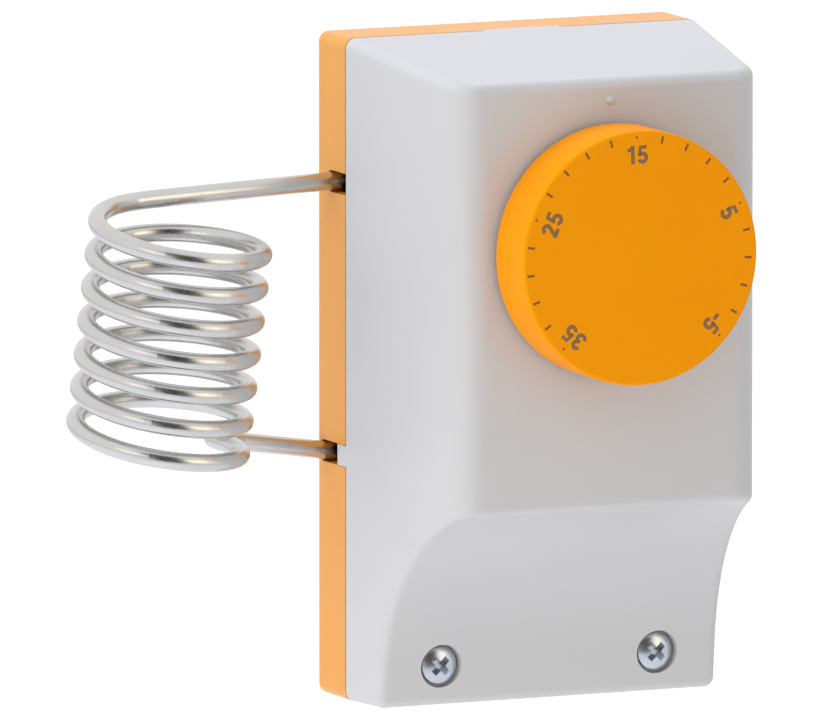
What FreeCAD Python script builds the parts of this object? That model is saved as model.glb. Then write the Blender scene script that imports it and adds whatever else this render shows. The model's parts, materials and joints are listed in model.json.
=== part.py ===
import FreeCAD, Part
import math
import os

# Room thermostat with a coiled sensor tube, in millimetres.
# X runs right, Z up. Depth is measured forward from the wall, so Y is minus the depth.
# The origin is the centre of the back face, which lies on the wall.

# Housing
HOUSING_WIDTH = 73.5
HOUSING_HEIGHT = 127.0
BASE_DEPTH = 13.0
COVER_DEPTH = 40.5
SEAM_GAP = 0.3
SIDE_TAPER = 8.0
TOP_SLOPE = 7.0
CORNER_RADIUS = 2.0
BACK_EDGE_RADIUS = 1.0
FRONT_SIDE_RADIUS = 6.5
BASE_WALL = 2.2
BASE_FLOOR = 2.5
COVER_WALL = 2.4
FIT = 0.15
RUNNING_FIT = 0.05

# Scooped lower front of the cover, heights from the bottom and depths from the seam
SCOOP_FOOT_DEPTH = 11.75
SCOOP_TILT = 7.6
SCOOP_STRAIGHT = 8.7
SCOOP_RADIUS = 38.0
SCOOP_RIM_RADIUS = 1.8

# Cover rim, top tab with its latch, index pip and turn stop
SPIGOT_THICKNESS = 1.2
SPIGOT_LENGTH = 1.8
SPIGOT_ROOT = 3.0
TAB_WIDTH = 16.2
TAB_STEP = 1.2
LATCH_WIDTH = 13.0
LATCH_LENGTH = 5.0
LATCH_THICKNESS = 1.6
LATCH_NIB = 0.9
PIP_DIAMETER = 1.8
PIP_HEIGHT = 0.6
PIP_FROM_TOP = 4.1
STOP_RADIUS = 16.0
STOP_THICKNESS = 2.4
STOP_HEIGHT = 3.4
STOP_PLAY = 1.0

# Cover screws
COVER_SCREW_FROM_SIDE = 14.25
COVER_SCREW_FROM_BOTTOM = 7.7
COVER_SCREW_RECESS = 8.4
COVER_SCREW_HEAD = 6.8
COVER_SCREW_HEAD_HEIGHT = 2.4
COVER_SCREW_SHANK = 3.5
COVER_SCREW_LENGTH = 17.0
COVER_COLUMN = 11.6
BASE_BOSS = 7.0

# Wall screws
WALL_HOLE = 4.5
WALL_HOLE_FROM_SIDE = 10.75
WALL_HOLE_FROM_TOP = 13.5
WALL_HOLE_FROM_BOTTOM = 23.5
WALL_COLLAR = 9.0
WALL_COLLAR_HEIGHT = 1.0

# Cable grommet in the bottom wall
CABLE_BORE = 8.0
GROMMET_NECK = 14.0
GROMMET_FLANGE = 17.0
GROMMET_FLANGE_THICKNESS = 0.8
GROMMET_INNER_FLANGE_THICKNESS = 1.5
GROMMET_SLEEVE = 11.0
GROMMET_SLEEVE_LENGTH = 4.0

# Sensor tube: diameter, notches in the left wall and the coil
TUBE_DIAMETER = 3.5
NOTCH_WIDTH = 4.2
UPPER_NOTCH_FROM_TOP = 28.0
UPPER_TUBE_DEPTH = 6.5
LOWER_NOTCH_FROM_BOTTOM = 47.0
LOWER_TUBE_DEPTH = 2.9
NOTCH_FLOOR_GAP = 0.15
NOTCH_KEY_LENGTH = 3.6
NOTCH_KEY_LIP = 1.5
COIL_RADIUS = 15.9
COIL_PITCH_PER_NOTCH_SPACING = 0.1256
COIL_TOP_DEPTH = 23.9
COIL_TOP_BELOW_NOTCH = 3.4
COIL_LEAN_X = 0.051
COIL_LEAN_FORWARD = 0.155
COIL_START_ANGLE = 12.0
COIL_END_ANGLE = 2446.0
COIL_REFERENCE_ANGLE = -24.0
UPPER_LEAD_LENGTH = 38.45
UPPER_LEAD_DEPTH_RISE = 1.7
UPPER_LEAD_DROP = 1.3
LOWER_LEAD_RUN_OUT = 21.25
LOWER_LEAD_RISE = 2.6
SEALED_END_FROM_SWITCH = 4.75
INNER_END_STRAIGHT = 14.0
INNER_END_FROM_WALL = 6.0
INNER_END_IN_STEM = 1.8

# Dial
DIAL_FROM_TOP = 37.4
DIAL_RADIUS = 24.2
DIAL_HEIGHT = 12.4
DIAL_GAP = 1.3
DIAL_RIM_RADIUS = 0.6
DIAL_SKIRT = 2.0
DIAL_FACE = 2.0
DIAL_RANGE = 270.0
HUB_DIAMETER = 13.0
RIB_THICKNESS = 1.4
STOP_RIB_THICKNESS = 3.0
RIB_COUNT = 6

# Spindle and its bearing
SPINDLE_DIAMETER = 8.0
SPINDLE_TIP_DIAMETER = 6.0
SPINDLE_TIP_LENGTH = 13.0
SPINDLE_FLAT = 2.0
SPINDLE_BEHIND_NUT = 3.0
COLLAR_DIAMETER = 11.0
COLLAR_LENGTH = 1.8
CIRCLIP_THICKNESS = 0.8
CIRCLIP_OUTER = 11.0
CIRCLIP_GROOVE = 7.0
CLIP_STRIP = 0.4
BUSH_DIAMETER = 11.0
BUSH_FLANGE = 14.0
BUSH_FLANGE_THICKNESS = 1.5
BUSH_LENGTH = 4.0

# Bracket
SHEET = 1.2
BRACKET_DEPTH = 9.0
BRACKET_ABOVE_DIAL = 29.9
BRACKET_BELOW_DIAL = 21.1
BRACKET_HALF_INNER = 15.0
LEG_BELOW_DIAL = 12.1
LEG_ABOVE_DIAL = 21.4
LEG_FRONT_ABOVE_DIAL = 11.4
LEG_FRONT_GAP = 4.6
BEARING_PLATE_FROM_LEG_END = 4.0
BEARING_PLATE_THICKNESS = 1.5
BEARING_TAB_HEIGHT = 12.0
POST_DIAMETER = 6.5
BRACKET_SCREW_HALF_SPACING = 10.0
BRACKET_SCREW_ABOVE_DIAL = 25.7
BRACKET_SCREW_BELOW_DIAL = 16.9
SMALL_SCREW_SHANK = 3.0
SMALL_SCREW_HEAD = 5.6
SMALL_SCREW_HEAD_HEIGHT = 1.8
SMALL_SCREW_LENGTH = 7.0

# Range nut and spring
NUT_BEHIND_BEARING_PLATE = 12.5
NUT_THICKNESS = 6.0
NUT_HEIGHT = 14.0
NUT_SIDE_GAP = 0.3
SPRING_DIAMETER = 15.0
SPRING_WIRE = 1.8
SPRING_PITCH = 2.55
SPRING_SEAT_GAP = 0.05

# Capsule, stud and lever
CAPSULE_DIAMETER = 26.0
CAPSULE_HEIGHT = 4.6
CAPSULE_WALL = 0.8
CAPSULE_STEM = 8.0
CAPSULE_STEM_DEPTH = 4.0
DIAPHRAGM_THICKNESS = 0.4
DIAPHRAGM_WAVE = 0.5
DIAPHRAGM_WAVES = 3
STUD_DIAMETER = 5.0
STUD_LENGTH = 2.0
CONTACT_GAP = 0.1
LEVER_SHEET = 1.5
LEVER_HALF_WIDTH = 12.5
LEVER_NECK_HALF_WIDTH = 5.0
LEVER_BELOW_CALIBRATION = 4.5
LEVER_NECK_BELOW_DIAL = 12.1
LEVER_ABOVE_PIVOT = 3.5
LEVER_SPRING_SEAT = 10.6
LEVER_SPRING_SEAT_HEIGHT = 0.8
EAR_HALF_HEIGHT = 3.2
PIVOT_ABOVE_DIAL = 16.9
PIVOT_BEHIND_LEVER = 3.0
PIVOT_PIN = 3.0
PIVOT_HEAD = 5.0
PIVOT_HEAD_THICKNESS = 1.0
CALIBRATION_BELOW_DIAL = 32.1
CALIBRATION_SCREW_LENGTH = 8.0

# Switch and its terminals
SWITCH_HALF_WIDTH = 15.0
SWITCH_ABOVE_PLUNGER = 9.0
SWITCH_LENGTH = 35.0
SWITCH_DEPTH = 3.5
SWITCH_HEIGHT = 11.0
SWITCH_PAD = 6.0
SWITCH_SCREW_HALF_SPACING = 11.0
SWITCH_SCREW_BELOW_PLUNGER = 6.0
PLUNGER_DIAMETER = 3.6
PLUNGER_REACH = 1.3
PLUNGER_SEATED = 4.0
TERMINAL_COUNT = 3
TERMINAL_SPACING = 9.5
TERMINAL_FROM_END = 6.0
TERMINAL_POCKET = 7.4
TERMINAL_POCKET_DEPTH = 6.0
TERMINAL_CLAMP = 6.8
TERMINAL_CLAMP_THICKNESS = 1.2

# Earth terminal and the clamp on the sensor tube's sealed end
EARTH_FROM_BOTTOM = 41.5
EARTH_BOSS = 8.0
EARTH_BOSS_DEPTH = 7.0
EARTH_CLAMP = 8.0
TUBE_CLAMP_WALL_GAP = 3.8
TUBE_CLAMP_WIDTH = 7.0
TUBE_CLAMP_SHEET = 0.9
TUBE_CLAMP_REACH = 8.0
TUBE_CLAMP_BOSS_DEPTH = 6.5

# Values worked out from the ones above
FRONT_DEPTH = BASE_DEPTH + COVER_DEPTH
HALF_WIDTH = HOUSING_WIDTH / 2
HALF_HEIGHT = HOUSING_HEIGHT / 2
BOTTOM = -HALF_HEIGHT
DIAL_Z = HALF_HEIGHT - DIAL_FROM_TOP
WALL_HOLE_HALF_SPACING = HALF_WIDTH - WALL_HOLE_FROM_SIDE
WALL_HOLE_UPPER = HALF_HEIGHT - WALL_HOLE_FROM_TOP
WALL_HOLE_LOWER = BOTTOM + WALL_HOLE_FROM_BOTTOM
COVER_SCREW_HALF_SPACING = HALF_WIDTH - COVER_SCREW_FROM_SIDE
UPPER_NOTCH_Z = HALF_HEIGHT - UPPER_NOTCH_FROM_TOP
LOWER_NOTCH_Z = BOTTOM + LOWER_NOTCH_FROM_BOTTOM
COIL_PITCH = COIL_PITCH_PER_NOTCH_SPACING * (UPPER_NOTCH_Z - LOWER_NOTCH_Z)
COIL_TOP_X = -HALF_WIDTH - UPPER_LEAD_LENGTH
COIL_TOP_Z = UPPER_NOTCH_Z - COIL_TOP_BELOW_NOTCH
LOWER_LEAD_LENGTH = UPPER_LEAD_LENGTH - LOWER_LEAD_RUN_OUT
LOWER_END_LENGTH = HALF_WIDTH - SWITCH_HALF_WIDTH - SEALED_END_FROM_SWITCH
TUBE_CLAMP_FROM_WALL = BASE_WALL + TUBE_CLAMP_WALL_GAP + TUBE_CLAMP_WIDTH / 2
DIAL_REAR_DEPTH = FRONT_DEPTH + DIAL_GAP
DIAL_FACE_DEPTH = DIAL_REAR_DEPTH + DIAL_HEIGHT
SPINDLE_FRONT_DEPTH = DIAL_FACE_DEPTH - DIAL_FACE - 1.0
LEG_FRONT_DEPTH = FRONT_DEPTH - COVER_WALL - LEG_FRONT_GAP
BEARING_PLATE_DEPTH = LEG_FRONT_DEPTH - BEARING_PLATE_FROM_LEG_END
NUT_DEPTH = BEARING_PLATE_DEPTH - NUT_BEHIND_BEARING_PLATE
SPINDLE_REAR_DEPTH = NUT_DEPTH - SPINDLE_BEHIND_NUT
BRACKET_TOP = DIAL_Z + BRACKET_ABOVE_DIAL
BRACKET_BOTTOM = DIAL_Z - BRACKET_BELOW_DIAL
BRACKET_SCREW_UPPER = DIAL_Z + BRACKET_SCREW_ABOVE_DIAL
BRACKET_SCREW_LOWER = DIAL_Z - BRACKET_SCREW_BELOW_DIAL
LEG_LOWER = DIAL_Z - LEG_BELOW_DIAL
LEG_UPPER = DIAL_Z + LEG_ABOVE_DIAL
LEG_FRONT_UPPER = DIAL_Z + LEG_FRONT_ABOVE_DIAL
PIVOT_Z = DIAL_Z + PIVOT_ABOVE_DIAL
CALIBRATION_Z = DIAL_Z - CALIBRATION_BELOW_DIAL
LEVER_TOP = PIVOT_Z + LEVER_ABOVE_PIVOT
LEVER_NECK_TOP = DIAL_Z - LEVER_NECK_BELOW_DIAL
LEVER_BOTTOM = CALIBRATION_Z - LEVER_BELOW_CALIBRATION
SWITCH_TOP = CALIBRATION_Z + SWITCH_ABOVE_PLUNGER
SWITCH_BOTTOM = SWITCH_TOP - SWITCH_LENGTH
SWITCH_SCREW_Z = CALIBRATION_Z - SWITCH_SCREW_BELOW_PLUNGER
TERMINAL_Z = SWITCH_BOTTOM + TERMINAL_FROM_END
EARTH_X = (SWITCH_HALF_WIDTH + HALF_WIDTH - BASE_WALL) / 2
EARTH_Z = BOTTOM + EARTH_FROM_BOTTOM
CAPSULE_DEPTH = BRACKET_DEPTH + SHEET
STUD_DEPTH = CAPSULE_DEPTH + CAPSULE_HEIGHT
LEVER_DEPTH = STUD_DEPTH + STUD_LENGTH + CONTACT_GAP
PIVOT_DEPTH = LEVER_DEPTH - PIVOT_BEHIND_LEVER
SWITCH_FRONT_DEPTH = SWITCH_DEPTH + SWITCH_HEIGHT
PLUNGER_TIP_DEPTH = SWITCH_FRONT_DEPTH + PLUNGER_REACH
CIRCLIP_DEPTH = BEARING_PLATE_DEPTH + BEARING_PLATE_THICKNESS + BUSH_FLANGE_THICKNESS + RUNNING_FIT
COVER_SCREW_Z = BOTTOM + COVER_SCREW_FROM_BOTTOM
FAR = 40.0


def point(x, depth, z):
    return FreeCAD.Vector(x, -depth, z)


def rod(diameter, x, z, back, front):
    """Cylinder along the depth direction."""
    return Part.makeCylinder(diameter / 2, front - back, point(x, front, z), FreeCAD.Vector(0, 1, 0))


def cross_rod(diameter, depth, z, left, right):
    """Cylinder along X."""
    return Part.makeCylinder(diameter / 2, right - left, point(left, depth, z), FreeCAD.Vector(1, 0, 0))


def upright_rod(diameter, x, depth, low, high):
    return Part.makeCylinder(diameter / 2, high - low, point(x, depth, low), FreeCAD.Vector(0, 0, 1))


def block(left, right, back, front, low, high):
    return Part.makeBox(right - left, front - back, high - low, point(left, front, low))


def turned(profile, x, z):
    """Solid of revolution about the depth direction, from (radius, depth) corners."""
    corners = [point(x + radius, depth, z) for radius, depth in profile]
    face = Part.Face(Part.makePolygon(corners + corners[:1]))
    return face.revolve(point(x, 0, z), FreeCAD.Vector(0, 1, 0), 360)


def plate_from_outline(corners, back, thickness):
    """Flat plate parallel to the wall, from (x, z) corners."""
    points = [point(x, back, z) for x, z in corners]
    face = Part.Face(Part.makePolygon(points + points[:1]))
    return face.extrude(FreeCAD.Vector(0, -thickness, 0))


def rounded(shape, radius, wanted):
    """Fillets each edge for which wanted(edge) is true."""
    return shape.makeFillet(radius, [edge for edge in shape.Edges if wanted(edge)])


def runs_along(edge, axis):
    direction = edge.tangentAt(edge.FirstParameter)
    return abs(direction.dot(axis)) > 0.999


def lies_at_depth(edge, depth):
    return all(abs(vertex.Y + depth) < 0.01 for vertex in edge.Vertexes)


def rounded_box(width, height, radius, back, front):
    """Box standing on the wall with rounded corners seen from the front."""
    box = block(-width / 2, width / 2, back, front, -height / 2, height / 2)
    return rounded(box, radius, lambda edge: runs_along(edge, FreeCAD.Vector(0, 1, 0)))


def tapered_body(inset, back, front):
    """Sharp-edged form of the cover between two depths, with its faces moved inwards by inset."""
    side_slope = math.tan(math.radians(SIDE_TAPER))
    top_slope = math.tan(math.radians(TOP_SLOPE))
    side_inset = inset / math.cos(math.radians(SIDE_TAPER))
    top_inset = inset / math.cos(math.radians(TOP_SLOPE))
    rings = []
    for depth in (back, front):
        half = HALF_WIDTH - (depth - BASE_DEPTH) * side_slope - side_inset
        top = HALF_HEIGHT - (depth - BASE_DEPTH) * top_slope - top_inset
        low = BOTTOM + inset
        corners = [point(-half, depth, low), point(half, depth, low)]
        corners += [point(half, depth, top), point(-half, depth, top)]
        rings.append(Part.makePolygon(corners + corners[:1]))
    return Part.makeLoft(rings, True, True)


def softened_body(inset, back, front):
    """The cover's form with its upright front edges and its long edges rounded."""
    body = tapered_body(inset, back, front)

    def is_upright_front(edge):
        return lies_at_depth(edge, front) and runs_along(edge, FreeCAD.Vector(0, 0, 1))

    def is_long_edge(edge):
        low, high = edge.BoundBox.ZMin, edge.BoundBox.ZMax
        on_top = low > HALF_HEIGHT - inset - COVER_DEPTH * 0.2 - 2
        on_bottom = high < BOTTOM + inset + 0.01
        return (on_top or on_bottom) and not lies_at_depth(edge, back)

    body = rounded(body, FRONT_SIDE_RADIUS - inset, is_upright_front)
    return rounded(body, max(CORNER_RADIUS - inset, 0.4), is_long_edge)


def scoop_space(growth):
    """Open space in front of the scooped lower front, grown into the cover by growth."""
    tilt = math.radians(SCOOP_TILT)
    along = FreeCAD.Vector(0, -math.sin(tilt), math.cos(tilt))
    forward = FreeCAD.Vector(0, -math.cos(tilt), -math.sin(tilt))
    foot = point(-FAR, BASE_DEPTH + SCOOP_FOOT_DEPTH, BOTTOM)
    arc_start = foot + along * (SCOOP_STRAIGHT / math.cos(tilt))
    centre = arc_start + forward * SCOOP_RADIUS
    radius = SCOOP_RADIUS + growth
    below = foot - along * FAR - forward * growth
    start = centre - forward * radius
    middle = centre + (FreeCAD.Vector(0, 0, 1) - forward).normalize() * radius
    crest = centre + FreeCAD.Vector(0, 0, radius)
    far_crest = FreeCAD.Vector(crest.x, -(FRONT_DEPTH + 2 * FAR), crest.z)
    far_foot = FreeCAD.Vector(crest.x, far_crest.y, below.z)
    edges = [Part.makeLine(below, start), Part.Arc(start, middle, crest).toShape()]
    edges += [Part.makeLine(crest, far_crest), Part.makeLine(far_crest, far_foot)]
    edges += [Part.makeLine(far_foot, below)]
    return Part.Face(Part.Wire(edges)).extrude(FreeCAD.Vector(2 * FAR, 0, 0))


def notch_cutter(z, deep_end, width):
    """U-shaped cut through the left wall, open at the seam, with a round deep end."""
    inner = -HALF_WIDTH + 2 * BASE_WALL
    outer = -HALF_WIDTH - 1
    slot = block(outer, inner, deep_end + width / 2, BASE_DEPTH + 1, z - width / 2, z + width / 2)
    return slot.fuse(cross_rod(width, deep_end + width / 2, z, outer, inner))


def grommet_space(play):
    """Neck and outer flange of the grommet, grown by play."""
    neck = upright_rod(GROMMET_NECK + 2 * play, 0, BASE_DEPTH, BOTTOM - 1, BOTTOM + 4)
    flange_top = BOTTOM + GROMMET_FLANGE_THICKNESS + play
    return neck.fuse(upright_rod(GROMMET_FLANGE + 2 * play, 0, BASE_DEPTH, BOTTOM - 1, flange_top))


def mirrored_places(half_spacing, *heights):
    return [(x, z) for z in heights for x in (-half_spacing, half_spacing)]


def base_tray():
    width, height = HOUSING_WIDTH, HOUSING_HEIGHT
    tray = rounded_box(width, height, CORNER_RADIUS, 0, BASE_DEPTH)
    tray = rounded(tray, BACK_EDGE_RADIUS, lambda edge: lies_at_depth(edge, 0))
    inner_width, inner_height = width - 2 * BASE_WALL, height - 2 * BASE_WALL
    cavity = rounded_box(inner_width, inner_height, 1.0, BASE_FLOOR, BASE_DEPTH + 1)
    tray = tray.cut(cavity)
    raised = [rod(BASE_BOSS, x, z, BASE_FLOOR, BASE_DEPTH + SEAM_GAP)
              for x, z in mirrored_places(COVER_SCREW_HALF_SPACING, COVER_SCREW_Z)]
    raised += [rod(WALL_COLLAR, x, z, BASE_FLOOR, BASE_FLOOR + WALL_COLLAR_HEIGHT)
               for x, z in mirrored_places(WALL_HOLE_HALF_SPACING, WALL_HOLE_UPPER, WALL_HOLE_LOWER)]
    raised += [rod(POST_DIAMETER, x, z, BASE_FLOOR, BRACKET_DEPTH)
               for x, z in bracket_screw_places()]
    raised += [rod(SWITCH_PAD, x, z, BASE_FLOOR, SWITCH_DEPTH) for x, z in switch_screw_places()]
    raised.append(rod(EARTH_BOSS, EARTH_X, EARTH_Z, BASE_FLOOR, EARTH_BOSS_DEPTH))
    clamp_x, clamp_z = tube_clamp_screw_place()
    raised.append(rod(BASE_BOSS, clamp_x, clamp_z, BASE_FLOOR, TUBE_CLAMP_BOSS_DEPTH))
    tray = tray.multiFuse(raised)
    return tray.cut(Part.makeCompound(base_cuts())).removeSplitter()


def base_cuts():
    cuts = [rod(WALL_HOLE, x, z, -1, BASE_FLOOR + 2)
            for x, z in mirrored_places(WALL_HOLE_HALF_SPACING, WALL_HOLE_UPPER, WALL_HOLE_LOWER)]
    cuts += [rod(COVER_SCREW_SHANK, x, z, cover_screw_seat() - COVER_SCREW_LENGTH - 0.5, BASE_DEPTH + 1)
             for x, z in mirrored_places(COVER_SCREW_HALF_SPACING, COVER_SCREW_Z)]
    small_tip = SMALL_SCREW_LENGTH + 0.3
    cuts += [rod(SMALL_SCREW_SHANK, x, z, BRACKET_DEPTH + SHEET - small_tip, BRACKET_DEPTH)
             for x, z in bracket_screw_places()]
    cuts += [rod(SMALL_SCREW_SHANK, x, z, 1.0, SWITCH_DEPTH) for x, z in switch_screw_places()]
    cuts.append(rod(SMALL_SCREW_SHANK, EARTH_X, EARTH_Z, 1.0, EARTH_BOSS_DEPTH))
    clamp_x, clamp_z = tube_clamp_screw_place()
    cuts.append(rod(SMALL_SCREW_SHANK, clamp_x, clamp_z, 1.0, TUBE_CLAMP_BOSS_DEPTH))
    upper_end = UPPER_TUBE_DEPTH - TUBE_DIAMETER / 2 - NOTCH_FLOOR_GAP
    lower_end = LOWER_TUBE_DEPTH - TUBE_DIAMETER / 2 - NOTCH_FLOOR_GAP
    cuts.append(notch_cutter(UPPER_NOTCH_Z, upper_end, NOTCH_WIDTH))
    cuts.append(notch_cutter(LOWER_NOTCH_Z, lower_end, NOTCH_WIDTH))
    cuts.append(tube_groove(lower_end))
    cuts.append(grommet_space(0))
    window_half = LATCH_WIDTH / 2 + FIT
    window_low = BASE_DEPTH - LATCH_LENGTH - 0.4
    cuts.append(block(-window_half, window_half, window_low, window_low + 2.4,
                      HALF_HEIGHT - BASE_WALL - 1, HALF_HEIGHT - BASE_WALL + LATCH_NIB + 0.2))
    tab_half = TAB_WIDTH / 2 + FIT
    cuts.append(block(-tab_half, tab_half, BASE_DEPTH - TAB_STEP, BASE_DEPTH + 1,
                      HALF_HEIGHT - BASE_WALL - 1, HALF_HEIGHT + 1))
    return cuts


def tube_groove(deep_end):
    """Groove in the floor that carries on the lower notch along the tube's sealed end."""
    start = point(-HALF_WIDTH, deep_end + NOTCH_WIDTH / 2, LOWER_NOTCH_Z)
    direction = lower_lead_direction()
    length = LOWER_END_LENGTH + NOTCH_WIDTH / 2
    groove = Part.makeCylinder(NOTCH_WIDTH / 2, length, start, direction)
    return groove.fuse(Part.makeSphere(NOTCH_WIDTH / 2, start + direction * length))


def bracket_screw_places():
    return mirrored_places(BRACKET_SCREW_HALF_SPACING, BRACKET_SCREW_UPPER, BRACKET_SCREW_LOWER)


def switch_screw_places():
    return mirrored_places(SWITCH_SCREW_HALF_SPACING, SWITCH_SCREW_Z)


def cover_screw_seat():
    surface = BASE_DEPTH + SCOOP_FOOT_DEPTH + COVER_SCREW_FROM_BOTTOM * math.tan(math.radians(SCOOP_TILT))
    return surface - COVER_SCREW_HEAD_HEIGHT


def front_cover():
    outer = softened_body(0, BASE_DEPTH + SEAM_GAP, FRONT_DEPTH).cut(scoop_space(0))
    outer = rounded(outer, SCOOP_RIM_RADIUS, is_scoop_rim)
    inner = softened_body(COVER_WALL, BASE_DEPTH - 1, FRONT_DEPTH - COVER_WALL).cut(scoop_space(COVER_WALL))
    columns = [rod(COVER_COLUMN, x, z, BASE_DEPTH, FRONT_DEPTH)
               for x, z in mirrored_places(COVER_SCREW_HALF_SPACING, COVER_SCREW_Z)]
    cover = outer.cut(inner.cut(Part.makeCompound(columns)))
    added = [cover_spigot(), cover_tab(), cover_latch(), turn_stop(), notch_key(), index_pip()]
    cover = cover.multiFuse(added)
    return cover.cut(Part.makeCompound(cover_cuts())).removeSplitter()


def is_scoop_rim(edge):
    """True on the rim where the scoop meets the front face and the sides."""
    if lies_at_depth(edge, BASE_DEPTH + SEAM_GAP) or edge.BoundBox.ZMax < BOTTOM + 0.5:
        return False
    tilt = math.radians(SCOOP_TILT)
    arc_start_depth = BASE_DEPTH + SCOOP_FOOT_DEPTH + SCOOP_STRAIGHT * math.tan(tilt)
    centre_depth = arc_start_depth + SCOOP_RADIUS * math.cos(tilt)
    centre_z = BOTTOM + SCOOP_STRAIGHT - SCOOP_RADIUS * math.sin(tilt)
    middle = edge.valueAt((edge.FirstParameter + edge.LastParameter) / 2)
    from_centre = math.hypot(-middle.y - centre_depth, middle.z - centre_z)
    on_arc = abs(from_centre - SCOOP_RADIUS) < 0.01
    foot_line = BASE_DEPTH + SCOOP_FOOT_DEPTH + (middle.z - BOTTOM) * math.tan(tilt)
    on_line = abs(-middle.y - foot_line) < 0.01
    across = runs_along(edge, FreeCAD.Vector(1, 0, 0)) and not lies_at_depth(edge, FRONT_DEPTH)
    return (on_arc or on_line) and not across


def cover_spigot():
    """Rim that drops inside the base walls."""
    back = BASE_DEPTH - SPIGOT_LENGTH
    front = BASE_DEPTH + SPIGOT_ROOT
    outer_inset = 2 * (BASE_WALL + FIT)
    inner_inset = outer_inset + 2 * SPIGOT_THICKNESS
    outer = rounded_box(HOUSING_WIDTH - outer_inset, HOUSING_HEIGHT - outer_inset, 1.0, back, front)
    inner = rounded_box(HOUSING_WIDTH - inner_inset, HOUSING_HEIGHT - inner_inset, 1.0, back - 1, front + 1)
    spigot = outer.cut(inner)
    reach = 4 * BASE_WALL
    gaps = [upright_rod(GROMMET_FLANGE + 3, 0, BASE_DEPTH, BOTTOM, BOTTOM + reach)]
    gaps += [block(x - BASE_BOSS / 2 - 1, x + BASE_BOSS / 2 + 1, back - 1, BASE_DEPTH,
                   BOTTOM, COVER_SCREW_Z + BASE_BOSS / 2 + 1)
             for x in (-COVER_SCREW_HALF_SPACING, COVER_SCREW_HALF_SPACING)]
    spigot = spigot.cut(Part.makeCompound(gaps))
    return spigot.common(tapered_body(0, BASE_DEPTH - 2 * SPIGOT_LENGTH, FRONT_DEPTH))


def cover_tab():
    """Tab that fills the recess in the base's top wall."""
    low = HALF_HEIGHT - BASE_WALL - FIT
    tab = block(-TAB_WIDTH / 2, TAB_WIDTH / 2, BASE_DEPTH - TAB_STEP, BASE_DEPTH + SPIGOT_ROOT, low, HALF_HEIGHT)
    return tab.common(tapered_body(0, BASE_DEPTH - 2 * TAB_STEP, FRONT_DEPTH))


def cover_latch():
    """Tongue under the base's top wall, with a nib that snaps into the window there."""
    half = LATCH_WIDTH / 2
    top = HALF_HEIGHT - BASE_WALL - FIT
    back = BASE_DEPTH - LATCH_LENGTH
    tongue = block(-half, half, back, BASE_DEPTH + SPIGOT_ROOT, top - LATCH_THICKNESS, top)
    nib = block(-half, half, back, back + 1.6, top - 0.5, top + LATCH_NIB)
    return tongue.fuse(nib)


def turn_stop():
    """Arc on the front face that the rib inside the dial runs against."""
    rib_angle = math.degrees(math.atan2(STOP_RIB_THICKNESS / 2, STOP_RADIUS))
    sector = 360 - DIAL_RANGE - 2 * rib_angle - 2 * STOP_PLAY
    outer, inner = STOP_RADIUS + STOP_THICKNESS / 2, STOP_RADIUS - STOP_THICKNESS / 2
    back, front = FRONT_DEPTH - 1, FRONT_DEPTH + STOP_HEIGHT
    corners = [point(inner, back, DIAL_Z), point(outer, back, DIAL_Z)]
    corners += [point(outer, front, DIAL_Z), point(inner, front, DIAL_Z)]
    face = Part.Face(Part.makePolygon(corners + corners[:1]))
    face.rotate(point(0, 0, DIAL_Z), FreeCAD.Vector(0, 1, 0), 90 - sector / 2)
    return face.revolve(point(0, 0, DIAL_Z), FreeCAD.Vector(0, 1, 0), sector)


def notch_key():
    """Key of the cover that closes the front of the lower notch, with a lip on its inner half."""
    half = NOTCH_WIDTH / 2 - 0.1
    low, high = LOWER_NOTCH_Z - half, LOWER_NOTCH_Z + half
    key_end = BASE_DEPTH - NOTCH_KEY_LENGTH
    inside = -HALF_WIDTH + BASE_WALL + 2 * FIT
    key = block(-HALF_WIDTH, inside, key_end, BASE_DEPTH + SEAM_GAP + 0.5, low, high)
    lip = block(-HALF_WIDTH + BASE_WALL / 2, inside, key_end - NOTCH_KEY_LIP, key_end, low, high)
    return key.fuse(lip).common(tapered_body(0, 0, FRONT_DEPTH))


def index_pip():
    """Small dome above the dial that the numbers are read against."""
    radius = (PIP_DIAMETER ** 2 / 4 + PIP_HEIGHT ** 2) / (2 * PIP_HEIGHT)
    z = HALF_HEIGHT - COVER_DEPTH * math.tan(math.radians(TOP_SLOPE)) - PIP_FROM_TOP
    return Part.makeSphere(radius, point(0, FRONT_DEPTH + PIP_HEIGHT - radius, z))


def cover_cuts():
    cuts = []
    for x, z in mirrored_places(COVER_SCREW_HALF_SPACING, COVER_SCREW_Z):
        cuts.append(rod(COVER_SCREW_SHANK + 0.6, x, z, BASE_DEPTH - 1, FRONT_DEPTH))
        cuts.append(rod(COVER_SCREW_RECESS, x, z, cover_screw_seat(), FRONT_DEPTH))
    cuts.append(rod(SPINDLE_DIAMETER + 1.5, 0, DIAL_Z, FRONT_DEPTH - COVER_WALL - 2, FRONT_DEPTH + 1))
    cuts.append(grommet_space(0))
    return cuts


def screw(shank, head, head_height, length, x, z, seat, crossed):
    """Screw driven towards the wall, with a low domed head and a cross or a slot."""
    dome = head_height * 0.45
    profile = [(0, seat - length), (shank * 0.25, seat - length), (shank / 2, seat - length + shank * 0.5)]
    profile += [(shank / 2, seat), (head / 2, seat), (head / 2, seat + head_height - dome)]
    profile += [(head * 0.36, seat + head_height - dome * 0.25), (0, seat + head_height)]
    body = turned(profile, x, z)
    top = seat + head_height + 0.1
    width = head * 0.16
    slot = block(x - head / 3.4, x + head / 3.4, seat + head_height * 0.35, top, z - width / 2, z + width / 2)
    if crossed:
        other = slot.copy()
        other.rotate(point(x, 0, z), FreeCAD.Vector(0, 1, 0), 90)
        slot = slot.fuse(other)
    slot.rotate(point(x, 0, z), FreeCAD.Vector(0, 1, 0), 45)
    return body.cut(slot)


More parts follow.
